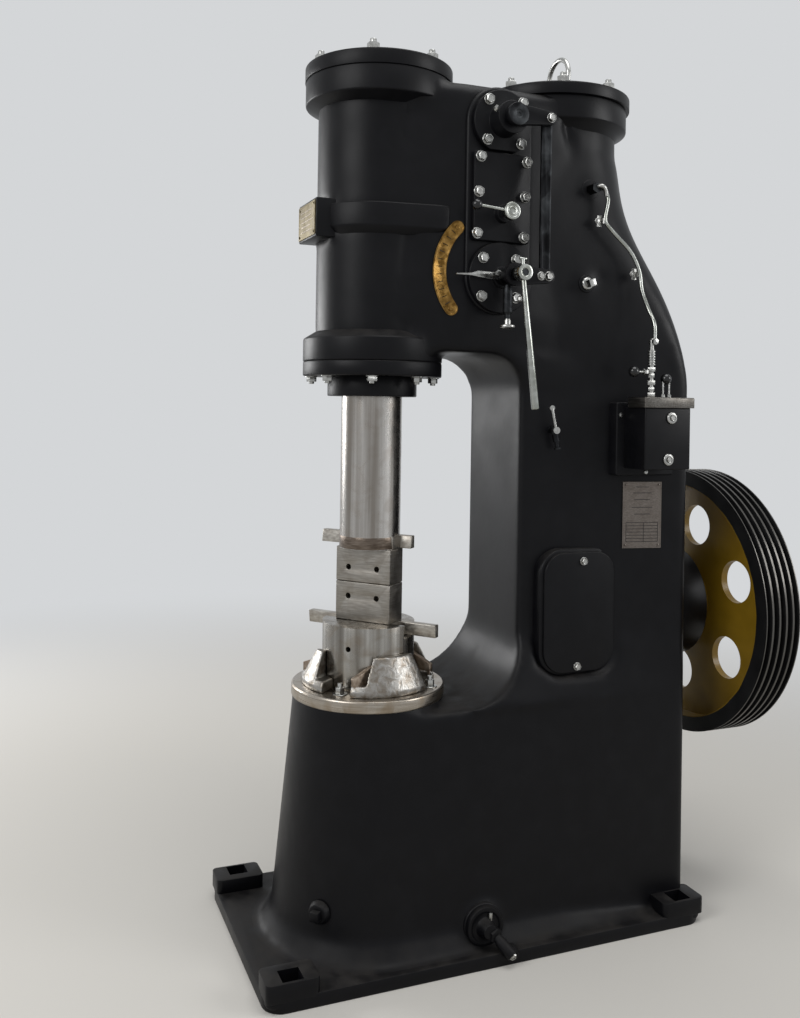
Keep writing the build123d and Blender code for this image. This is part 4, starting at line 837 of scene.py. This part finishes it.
def makeCollar():
    shape = collar
    cutters = []
    for gap in shape["gaps"]:
        for near, far, high in shape["feet"][gap == shape["plainGap"]:]:
            cutters.append(boxPart((shape["cutFrom"], near, high), (shape["cutTo"], far, shape["cutTop"])))
            cutters[-1].transform(spun(gap))
    flowed(carve(mergedCopy("anvil_collar"), *cutters), "collarClamps", "castBright", shape, "anvil_collar")
    cheek = bmesh.new()
    cheek.faces.new([cheek.verts.new((along, 0, z)) for along, z in shape["cheek"]])
    thicken(cheek, (0, shape["cheekThick"], 0))
    bevelSharp(cheek, shape["cheekEdge"])
    seat = Matrix.Translation(shape["cheekEnd"]) @ spun(shape["cheekTurn"])
    keepPiece(joined((cheek, *[spun(gap) @ seat for gap in shape["gaps"]])), "collarCheeks", "scaledForging")
    places = [spun(angle) @ Matrix.Translation((radius, 0, shape["ringTop"]))
              for radius, angle in shape["studs"]]
    keepPiece(joined((studAndNut(*shape["nut"]), *places)), "collarBolts", "zincPlate")


makeCollar()


# Browned band turned at the foot of the ram

ramFoot = {"core": 0.060, "radius": 0.0703, "low": 0.8752, "high": 0.9025, "edge": 0.0008}
band = ringPart(ramFoot["core"], ramFoot["radius"], ramFoot["low"], ramFoot["high"], 96, ramFoot["edge"])
keepPiece(band, "ramFootBand", "brownedSteel", "ram")


# Studs, nuts and bolts of the cylinder ends and covers, bright zinc throughout

fixings = {
    # across flats, height, tip of the stud, washer
    "capStud": (0.024, 0.017, 0.009, 0.017), "footStud": (0.020, 0.013, 0.005, 0.0145),
    # across flats, height, washer, dish of the cast head
    "coverBolt": (0.0195, 0.0095, 0.0125, 0.0012), "accessBolt": (0.014, 0.0075, 0.0095, 0.0008),
    "frontCap": {"radius": 0.144, "z": 1.970, "first": -86.0, "count": 6, "y": 0.006},
    "rearCap": {"radius": 0.163, "z": 1.955, "first": -66.5, "count": 8, "y": 0.465},
    "footCover": {"radius": 0.140, "z": 1.266, "first": 24.5, "count": 8, "y": 0.0},
    "coverFace": 0.186, "accessFace": 0.180, "coverTurn": 0.35, "accessTurn": 0.5,
    "covers": [(0.197, 1.882), (0.281, 1.883), (0.194, 1.793), (0.278, 1.791), (0.179, 1.754), (0.294, 1.751),
               (0.175, 1.676), (0.290, 1.673), (0.172, 1.584), (0.288, 1.582), (0.188, 1.531), (0.270, 1.531),
               (0.185, 1.446), (0.270, 1.446)],
    "access": [(0.463, 0.847), (0.449, 0.604)],
}


def around(ring, facing=1):
    places = []
    for k in range(ring["count"]):
        turn = math.radians(ring["first"] + 360 * k / ring["count"])
        point = (ring["radius"] * math.cos(turn), ring["y"] + ring["radius"] * math.sin(turn), ring["z"])
        places.append(placeAt(point, (0, 0, facing), turn))
    return places


def makeFixings():
    shape = fixings
    covers = [placeAt((shape["coverFace"], y, z), turn=shape["coverTurn"] * k)
              for k, (y, z) in enumerate(shape["covers"])]
    access = [placeAt((shape["accessFace"], y, z), turn=shape["accessTurn"]) for y, z in shape["access"]]
    for name, head, places in (
        ("capStuds", studAndNut(*shape["capStud"]), around(shape["frontCap"]) + around(shape["rearCap"])),
        ("footCoverBolts", studAndNut(*shape["footStud"]), around(shape["footCover"], -1)),
        ("coverBolts", hexBolt(*shape["coverBolt"]), covers),
        ("accessBolts", hexBolt(*shape["accessBolt"]), access),
    ):
        keepPiece(joined((head, *places)), name, "zincPlate")


makeFixings()
print("fixings ready")


# Lifting eye: forged ring on a collar, screwed into the compressor cap

eye = {
    "y": 0.483, "capTop": 1.955, "ring": 0.0465, "bar": 0.006, "collarHigh": 0.024,
    "collar": [(0, 0), (0.018, 0), (0.018, 0.006), (0.011, 0.012), (0.009, 0.024), (0.012, 0.030),
               (0, 0.030)],
}


def makeLiftingEye():
    shape = eye
    bm = bmesh.new()
    bmesh.ops.create_circle(bm, segments=20, radius=shape["bar"])
    bmesh.ops.translate(bm, vec=(shape["ring"], 0, 0), verts=bm.verts)
    bmesh.ops.spin(bm, geom=bm.verts[:] + bm.edges[:], cent=(0, 0, 0), axis=(0, 1, 0), angle=2 * math.pi,
                   steps=72, use_merge=True)
    high = shape["capTop"] + shape["collarHigh"] + shape["ring"] - shape["bar"]
    bmesh.ops.translate(bm, vec=(0, shape["y"], high), verts=bm.verts)
    stamp(bm, turnedPart(shape["collar"], 40, 0.0015), Matrix.Translation((0, shape["y"], shape["capTop"])))
    keepPiece(bm, "liftingRing", "zincPlate", node="lifting_eye")


makeLiftingEye()


# Upper valve: bonnet screw, the arm's hub disc with its centre mark, and the head of the arm's pin

upperValve = {
    "centre": (0.256, 0.234, 1.836), "pin": (0.256, 0.314, 1.836), "pinHead": (0.016, 0.0085, 0.0105, 0.001),
    "screw": (0.214, 0.2045, 1.852), "screwAim": (0.2, -0.84, 0.5), "screwHead": (0.013, 0.009, 0.008),
    "disc": [(0, -0.004), (0.0245, -0.004), (0.0245, 0.0012), (0.0200, 0.0022), (0.0090, 0.0022),
             (0.0080, 0.0010), (0.0030, 0.0010), (0.0022, -0.0015), (0, -0.0015)],
}


def makeUpperValve():
    shape = upperValve
    disc = joined((turnedPart(shape["disc"], 48, 0.0004, 1), placeAt(shape["centre"])))
    keepPiece(disc, "upperHubDisc", "blackOxide", "upper_valve")
    screw = joined((hexBolt(*shape["screwHead"]), placeAt(shape["screw"], shape["screwAim"])))
    keepPiece(screw, "bonnetScrew", "zincPlate")
    pin = joined((hexBolt(*shape["pinHead"]), placeAt(shape["pin"])))
    keepPiece(pin, "upperPinHead", "zincPlate", "upper_valve")


makeUpperValve()


# Hand lever set on the lower valve: hub ring, tapered rod, T screw, pointer blade, plunger and pin heads

lever = {
    "y": 0.234, "z": 1.489, "inner": 0.272, "middle": 0.284, "lean": 7.0,
    "hub": [(0, 0), (0.0172, 0), (0.0172, 0.0252), (0.0096, 0.0252), (0.0088, 0.024), (0.0066, 0.024),
            (0.0066, 0.018), (0, 0.018)],
    "rod": [(0, 0.010), (0.0055, 0.010), (0.0088, 0.2945), (0, 0.2945)],
    "screw": 0.0036, "screwFrom": 0.012, "screwHigh": 0.030, "bar": 0.0028, "barHalf": 0.0085,
    # blade's outline in Y and Z about the spindle, tip forwards
    "blade": [(-0.118, 0.0012), (-0.082, 0.0040), (-0.066, 0.0095), (-0.012, 0.0080), (-0.012, -0.0080),
              (-0.060, -0.0040), (-0.082, -0.0012), (-0.118, -0.0012)],
    "pointerX": (0.199, 0.204), "bladeEdge": 0.0006,
    "clamp": (0.2075, 0.2125, 1.4955), "clampHead": (0.012, 0.008), "clampTurn": 0.2, "pointerHubX": 0.1975,
    # rings: inner and outer radius, from and to
    "pointerHub": (0.0132, 0.019, 0, 0.0095), "sleeve": (0.0135, 0.0185, -0.016, 0.016), "sleeveX": 0.223,
    "plungerY": 0.231,
    "barrel": [(0, 0.016), (0.0080, 0.020), (0.0108, 0.036), (0.0108, 0.080), (0.0060, 0.086),
               (0.0060, 0.096), (0, 0.096)],
    "knob": [(0, 0.092), (0.0052, 0.092), (0.0075, 0.099), (0.0078, 0.107), (0.0168, 0.1085),
             (0.0170, 0.1135), (0.0100, 0.1165), (0, 0.1165)],
    "stop": (0.227, 0.2545, 1.439), "stopAim": (0.8, 0.6, 0), "stopHead": (0.011, 0.009),
    # pin heads: place, turn, and across flats, height, washer and dish
    "pins": [((0.256, 0.314, 1.489), 0.3, (0.016, 0.0080, 0.0105, 0.001)),
             ((0.256, 0.2945, 1.4885), 0.1, (0.014, 0.0065, 0.0095, 0.001))],
}


def makeHandLever():
    shape = lever
    lean, high, half = math.radians(shape["lean"]), shape["screwHigh"], shape["barHalf"]
    middle = Vector((shape["middle"], shape["y"], shape["z"]))
    bm = joined(
        (turnedPart(shape["hub"], 44, 0.0009), placeAt((shape["inner"], shape["y"], shape["z"]))),
        (turnedPart(shape["rod"], 28, 0.0035, 3), placeAt(middle, (0, math.sin(lean), -math.cos(lean)))),
        # T screw that clamps the hub
        (rodPart(shape["screw"], shape["screwFrom"], high, 16, 0.0004, 1), placeAt(middle, (0, 0, 1))),
        (rodPart(shape["bar"], -half, half, 16, 0.0008), placeAt(middle + Vector((0, 0, high)), (0, 1, 0))),
    )
    keepPiece(bm, "handLeverRod", "polishedBar", node="hand_lever")


def makePointer():
    shape, (near, far) = lever, lever["pointerX"]
    bm = bmesh.new()
    bm.faces.new([bm.verts.new((near, shape["y"] + y, shape["z"] + z)) for y, z in shape["blade"]])
    thicken(bm, (far - near, 0, 0))
    bevelSharp(bm, shape["bladeEdge"])
    stamp(bm, hexBolt(*shape["clampHead"]), placeAt(shape["clamp"], turn=shape["clampTurn"]))
    keepPiece(bm, "pointerBlade", "zincPlate", "valve_lever")
    hub = ringPart(*shape["pointerHub"], 44, 0.0010)
    hub.transform(placeAt((shape["pointerHubX"], shape["y"], shape["z"])))
    keepPiece(hub, "pointerHub", "blackOxide", node="valve_pointer")


def makePlunger():
    shape = lever
    down = placeAt((shape["sleeveX"], shape["plungerY"], shape["z"]), (0, 0, -1))
    sleeve = (ringPart(*shape["sleeve"], 44, 0.0015), placeAt((shape["sleeveX"], shape["y"], shape["z"])))
    barrel = joined(sleeve, (turnedPart(shape["barrel"], 32, 0.0008), down))
    keepPiece(barrel, "plungerBarrel", "blackOxide", node="lever_plunger")
    stop = (hexBolt(*shape["stopHead"]), placeAt(shape["stop"], shape["stopAim"]))
    knob = joined((turnedPart(shape["knob"], 40, 0.0006), down), stop)
    keepPiece(knob, "plungerKnob", "zincPlate", "valve_lever")


makeHandLever()
makePointer()
makePlunger()
pinHeads = joined(*[(hexBolt(*head), placeAt(place, turn=turn)) for place, turn, head in lever["pins"]])
keepPiece(pinHeads, "lowerPinHeads", "zincPlate", "valve_lever")


# Small valve handle: faced hub, rod and phenolic ball

smallHandle = {
    "face": (0.236, 0.234, 1.630), "root": (0.228, 0.234, 1.630), "lean": 5.0, "long": 0.084, "ball": 0.0120,
    "hub": [(0, -0.061), (0.0078, -0.061), (0.0078, -0.018), (0.0150, -0.018), (0.0195, -0.013),
            (0.0195, -0.001), (0.0180, 0), (0.0142, 0), (0.0132, -0.0014), (0.0100, -0.0014),
            (0.0090, 0), (0.0066, 0), (0.0058, -0.0022), (0, -0.0022)],
    "rod": [(0, 0.012), (0.0038, 0.012), (0.0034, 0.076), (0, 0.076)],
}


def makeSmallHandle():
    shape = smallHandle
    lean = math.radians(shape["lean"])
    out, root = Vector((0, -math.cos(lean), math.sin(lean))), Vector(shape["root"])
    bm = joined((turnedPart(shape["hub"], 48, 0.0004, 1), placeAt(shape["face"])),
                (turnedPart(shape["rod"], 20), placeAt(root, out)))
    keepPiece(bm, "smallHandleRod", "polishedBar", node="small_valve_handle")
    ball = joined((ballPart(shape["ball"]), Matrix.Translation(root + out * shape["long"])))
    keepPiece(ball, "smallHandleBall", "phenolic", "small_valve")


makeSmallHandle()
print("valve gear ready")


# Brass scale on the neck: raised border, a row of ticks and two screws

scalePlate = {
    "neckX": 0.133, "neckRun": (0.031, 0.152, 0),
    # the arc, along the neck and up, and the angles of its ticks and screws
    "centre": (0.237, 1.500), "radius": 0.138, "ticks": range(141, 212, 7), "screws": (135.5, 217.0),
    "border": 0.0022, "step": 0.0008, "tick": ((-0.0060, -0.0007, 0.0018), (0.0060, 0.0007, 0.0030)),
    "screw": [(0, 0.002), (0.0050, 0.002), (0.0046, 0.0042), (0.0020, 0.0052), (0, 0.0052)],
}


def wallFrame(along, *origin):
    # local X along a level line, Y up, Z outwards
    along = Vector(along).normalized()
    out = Vector((along.y, -along.x, 0))
    return Matrix.Translation(origin) @ Matrix((along, Vector((0, 0, 1)), out)).transposed().to_4x4()


def makeScale():
    shape = scalePlate
    neck = wallFrame(shape["neckRun"], shape["neckX"], 0, 0)
    bm = mergedCopy("valve_scale", flat=True)
    sinkFace(bm, neck.to_3x3().col[2], shape["border"], shape["step"])

    def onArc(angle):
        turn, (s, z) = math.radians(angle), shape["centre"]
        point = (s + shape["radius"] * math.cos(turn), z + shape["radius"] * math.sin(turn), 0)
        return neck @ Matrix.Translation(point)

    ticks = joined((boxPart(*shape["tick"], 0.0002, 1),
                    *[onArc(angle) @ spun(angle) for angle in shape["ticks"]]))
    stamp(bm, turnedPart(shape["screw"], 20), *[onArc(angle) for angle in shape["screws"]])
    keepPiece(ticks, "scaleTicks", "blackOxide")
    keepPiece(bm, "scaleFace", "brassSheet", node="valve_scale")


makeScale()


# Sheet plates: a brass one on the front block and an aluminium one on the side wall, both bare of words

plates = {
    "thick": 0.0022, "border": 0.0030, "step": 0.0006, "inset": 0.0075, "lineFoot": 0.0012,
    # half width and height, radius of the rivets
    "front": ((0.062, 0.038), 0.0030), "frontPlace": (0, -0.1612, 1.613), "data": ((0.049, 0.0785), 0.0026),
    "dataY": 0.614, "dataZ": 0.9515, "dataProud": 0.0004,
    # left, right and height of each line's middle, with half its thickness
    "frontLines": [(-0.046, 0.046 - 0.014 * (k % 2), 0.022 - 0.011 * k, 0.0007) for k in range(5)],
    "rules": [(-0.040, 0.040, -0.018 - 0.0075 * k, 0.0005) for k in range(7)],
    # the ruled table's upright lines, and the half length and height of the blank title lines
    "uprights": (-0.040, 0.004, 0.040), "uprightZ": (-0.063, -0.018),
    "titles": [(-half, half, z, 0.0006) for z, half in
               ((0.066, 0.016), (0.052, 0.024), (0.036, 0.020), (0.018, 0.026), (0.002, 0.020))],
    "uprightHalf": 0.0005, "frontTop": 0.0020, "dataTop": 0.0019,
}


def sheetPlate(half, rivet):
    # local Z outwards; a fine raised rim and a rivet in each corner
    wide, tall, thick = *half, plates["thick"]
    bm = boxPart((-wide, -tall, -0.0005), (wide, tall, thick), 0.0004, 1)
    sinkFace(bm, Vector((0, 0, 1)), plates["border"], plates["step"])
    head = turnedPart([(0, thick - 0.001), (rivet, thick - 0.001), (rivet * 0.85, thick + 0.0012),
                       (rivet * 0.4, thick + 0.0018), (0, thick + 0.0018)], 16)
    wide, tall = wide - plates["inset"], tall - plates["inset"]
    stamp(bm, head, *[Matrix.Translation((x, y, 0)) for x in (-wide, wide) for y in (-tall, tall)])
    return bm


def ruled(lines, top):
    foot = plates["lineFoot"]
    return [(boxPart((left, z - half, foot), (right, z + half, top)), Matrix())
            for left, right, z, half in lines]


def makePlates():
    shape, foot, half, top = plates, plates["lineFoot"], plates["uprightHalf"], plates["dataTop"]
    low, high = shape["uprightZ"]
    front, lines = sheetPlate(*shape["front"]), joined(*ruled(shape["frontLines"], shape["frontTop"]))
    data = sheetPlate(*shape["data"])
    uprights = [(boxPart((x - half, low, foot), (x + half, high, top)), Matrix()) for x in shape["uprights"]]
    rules = joined(*ruled(shape["rules"], top), *uprights, *ruled(shape["titles"], top))
    lean = math.atan(casting["wallSlope"])
    wall = wallFrame((math.sin(lean), math.cos(lean), 0), sideWall(shape["dataY"]) + shape["dataProud"],
                     shape["dataY"], shape["dataZ"])
    for part in (front, lines):
        part.transform(placeAt(shape["frontPlace"], (0, -1, 0)))
    for part in (data, rules):
        part.transform(wall)
    keepPiece(lines, "frontPlateLines", "brownedSteel")
    keepPiece(front, "frontPlateSheet", "paleBrass", node="front_plate")
    keepPiece(rules, "dataPlateRules", "blackOxide")
    keepPiece(data, "dataPlateSheet", "plateAluminium", node="data_plate")


makePlates()


# Lubricator: sight feed of stacked nuts and a ribbed tube, two phenolic balls, wall bolts

oiler = {
    "stack": (0.250, 0.592), "lidTop": 1.229, "stem": 0.0050, "top": 1.357, "face": 0.286, "pad": 0.206,
    # height, across flats, thickness
    "nuts": ((1.230, 0.016, 0.010), (1.243, 0.013, 0.009), (1.257, 0.016, 0.011), (1.274, 0.013, 0.010),
             (1.288, 0.016, 0.010)),
    "ribs": (1.302, 1.338, 6), "ribRadius": 0.0088, "ribDeep": 0.0018, "nutEdge": 0.0009, "smallEdge": 0.0008,
    # side knob: rod's radius and reach, its nut, height of both
    "knobRod": 0.0030, "knobReach": 0.048, "knobNut": (0.013, 0.012, 0.022), "knobZ": 1.287,
    "filler": (0.250, 0.633), "posts": (-0.0085, 0.0085), "fillerZ": 1.272, "ball": 0.0125,
    "post": [(0, 0), (0.0050, 0), (0.0050, 0.008), (0.0026, 0.009), (0.0026, 0.040), (0, 0.040)],
    "bolts": ((0.623, 1.182), (0.615, 1.087)), "boltHead": (0.0125, 0.0, 0.0085, 0.0009, 0.001),
    "boltTurn": 0.3,
    "boltRing": [(0.0070, 0), (0.0135, 0), (0.0135, 0.003), (0.0115, 0.0045), (0.0070, 0.0045), (0.0070, 0)],
    "screws": ((0.541, 1.187), (0.612, 1.054)),
    "screw": [(0, 0), (0.0055, 0), (0.0048, 0.0028), (0.0020, 0.0038), (0, 0.0038)],
}


def ribbedTube():
    shape, (low, high, count) = oiler, oiler["ribs"]
    stem, rib, groove = shape["stem"], shape["ribRadius"], shape["ribRadius"] - shape["ribDeep"]
    foot, pitch = shape["lidTop"] - 0.002, (high - low) / count
    profile = [(0, foot), (stem, foot), (stem, low)]
    for k in range(count):
        z = low + k * pitch
        profile += [(rib, z + pitch * 0.15), (rib, z + pitch * 0.6), (groove, z + pitch * 0.75),
                    (groove, z + pitch)]
    return turnedPart(profile + [(stem, high), (stem, shape["top"]), (0, shape["top"])], 32)


def makeOiler():
    shape = oiler
    (x, y), (fx, fy) = shape["stack"], shape["filler"]
    knob = placeAt((x, y, shape["knobZ"]), (0, -1, 0))
    bm = joined(
        *[(hexPart(flats, 0, high, shape["nutEdge"]), Matrix.Translation((x, y, z)))
          for z, flats, high in shape["nuts"]],
        (ribbedTube(), Matrix.Translation((x, y, 0))),
        (rodPart(shape["knobRod"], 0, shape["knobReach"]), knob),
        (hexPart(*shape["knobNut"], shape["smallEdge"]), knob),
        (turnedPart(shape["post"], 16),
         *[Matrix.Translation((fx, fy + step, shape["lidTop"] - 0.001)) for step in shape["posts"]]),
    )
    keepPiece(bm, "sightFeed", "zincPlate", node="oil_feed_stack")
    balls = ((x, y - shape["knobReach"], shape["knobZ"]), (fx, fy, shape["fillerZ"]))
    keepPiece(joined((ballPart(shape["ball"]), *[Matrix.Translation(centre) for centre in balls])),
              "oilerBalls", "phenolic", node="oil_filler")
    bolts = [(shape["face"], by, bz) for by, bz in shape["bolts"]]
    screws = [(shape["pad"], sy, sz) for sy, sz in shape["screws"]]
    bm = joined((turnedPart(shape["boltRing"], 32, 0.0005, 1), *map(placeAt, bolts)),
                (hexPart(*shape["boltHead"]), *[placeAt(point, turn=shape["boltTurn"]) for point in bolts]),
                (turnedPart(shape["screw"], 20), *map(placeAt, screws)))
    keepPiece(bm, "oilerBolts", "zincPlate")


makeOiler()


# Pipe fittings: bend out of the elbow, banjo, two clips, and the plug on the shoulder

pipework = {
    "bend": [(0.170, 0.478, 1.7145), (0.188, 0.480, 1.7165), (0.197, 0.488, 1.7170), (0.1945, 0.4985, 1.709),
             (0.191, 0.502, 1.695)],
    "bendRadius": 0.0048, "banjo": (0.248, 0.596, 1.357), "banjoBall": 0.0090,
    "banjoNut": (0.014, 0.004, 0.013, 0.0008),
    "clips": ((0.190, 0.4985, 1.6365), (0.205, 0.5860, 1.5170)),
    # clip: strap lying flat, its place and its bolt's beside the pipe, and the ring round the pipe
    "strap": ((-0.0130, -0.0062, -0.0008), (0.0130, 0.0062, 0.0008)), "strapStep": (-0.0062, -0.010, 0),
    "clipBolt": (0.009, 0.0045, 0.0060), "boltStep": (-0.0052, -0.0170, 0),
    "ring": (0.0046, 0.0058, -0.0062, 0.0062),
    "plug": (0.1745, 0.464, 1.491), "plugTurn": 20,
    "flange": [(0, 0), (0.0150, 0), (0.0150, 0.004), (0.0120, 0.007), (0, 0.007)],
    "square": ((-0.0085, -0.0085, 0.006), (0.0085, 0.0085, 0.026)), "squareEdge": 0.0012,
}


def makePipework():
    shape = pipework
    banjo, plug = shape["banjo"], shape["plug"]
    bm = joined((tubePart(shape["bend"], shape["bendRadius"]), Matrix()),
                (ballPart(shape["banjoBall"], 24, 14), Matrix.Translation(banjo)),
                (hexPart(*shape["banjoNut"]), placeAt(banjo)))
    for clip in map(Vector, shape["clips"]):
        stamp(bm, boxPart(*shape["strap"], 0.0003, 1), placeAt(clip + Vector(shape["strapStep"])) @ spun(90))
        stamp(bm, hexBolt(*shape["clipBolt"]), placeAt(clip + Vector(shape["boltStep"])))
        stamp(bm, ringPart(*shape["ring"], 20), Matrix.Translation(clip))
    stamp(bm, turnedPart(shape["flange"], 32, 0.0006, 1), placeAt(plug))
    stamp(bm, boxPart(*shape["square"], shape["squareEdge"]),
          placeAt(plug, turn=math.radians(shape["plugTurn"])))
    keepPiece(bm, "pipeFittings", "zincPlate", node="shoulder_plug")


makePipework()
print("pipework ready")


# Drain at the foot: ribbed flange with its pin, hex plug and short capped cock; and the square plug in front

drain = {
    "place": (0.2243, 0.195, 0.072), "pin": (0.2375, 0.2045, 0.094), "pinAim": (0, 0.05, 1),
    "pinRadius": 0.0042, "pinHalf": 0.010, "nut": (0.246, 0.206, 0.064), "nutAim": (0.9, 0.25, -0.15),
    "nutHex": (0.028, -0.006, 0.014, 0.0015),
    "disc": [(0, 0), (0.0445, 0), (0.0425, 0.0108), (0.034, 0.0108), (0.032, 0.0090), (0.022, 0.0090),
             (0.018, 0.020), (0.015, 0.034), (0, 0.034)],
    "cock": (0.281, 0.236, 0.026), "cockAim": (0.90, -0.20, -0.25),
    "tipHex": (0.015, 0.0, 0.003, 0.0008, 0.0012),
    "neck": [(0, 0), (0.0100, 0), (0.0105, 0.016), (0.0125, 0.022)],
    "cap": [(0, -0.024), (0.0125, -0.024), (0.0140, -0.018), (0.0140, 0), (0, 0)],
    "plug": (0.143, -0.153, 0.123), "plugTurn": -47,
    "plugBoss": [(0, 0), (0.026, 0), (0.020, 0.014), (0, 0.014)],
    "square": ((-0.010, -0.010, 0.0), (0.010, 0.010, 0.016)), "squareOut": 0.013, "squareEdge": 0.0015,
}


def makeDrain():
    shape = drain
    disc = joined((turnedPart(shape["disc"], 56, 0.0014), placeAt(shape["place"])))
    keepPiece(disc, "drainDisc", "enamel", node="drain_flange")
    tip = placeAt(shape["cock"], shape["cockAim"])
    pin = rodPart(shape["pinRadius"], -shape["pinHalf"], shape["pinHalf"], 18, 0.0010)
    keepPiece(joined((pin, placeAt(shape["pin"], shape["pinAim"])), (hexPart(*shape["tipHex"]), tip)),
              "drainPin", "zincPlate")
    aim = Vector(shape["cock"]) - Vector(shape["nut"])
    neck = turnedPart(shape["neck"] + [(shape["neck"][-1][0], aim.length), (0, aim.length)], 28, 0.001, 1)
    cock = joined((neck, placeAt(shape["nut"], aim)), (turnedPart(shape["cap"], 28, 0.0012), tip))
    keepPiece(cock, "drainCockBody", "enamel", node="drain_cock")
    turn = math.radians(shape["plugTurn"])
    plug, out = Vector(shape["plug"]), Vector((math.cos(turn), math.sin(turn), 0))
    square = boxPart(*shape["square"], shape["squareEdge"])
    plugs = joined((hexPart(*shape["nutHex"]), placeAt(shape["nut"], shape["nutAim"])),
                   (turnedPart(shape["plugBoss"], 36, 0.002), placeAt(plug, out)),
                   (square, placeAt(plug + out * shape["squareOut"], out)))
    keepPiece(plugs, "footPlugs", "enamel")


makeDrain()


# The other nodes keep their own mesh and only take a finish

for node, look in {
    "ram": "polishedRam", "belt_pulley": "pulleyPaint", "crankshaft_end": "groundSteel",
    "upper_valve_spindle": "blackOxide", "lower_valve_spindle": "blackOxide", "pipe_elbow": "blackOxide",
    "oil_pipe": "polishedBar", "petcock_body": "blackOxide", "petcock_handle": "zincPlate",
}.items():
    dress(node, look)
print("dressed")
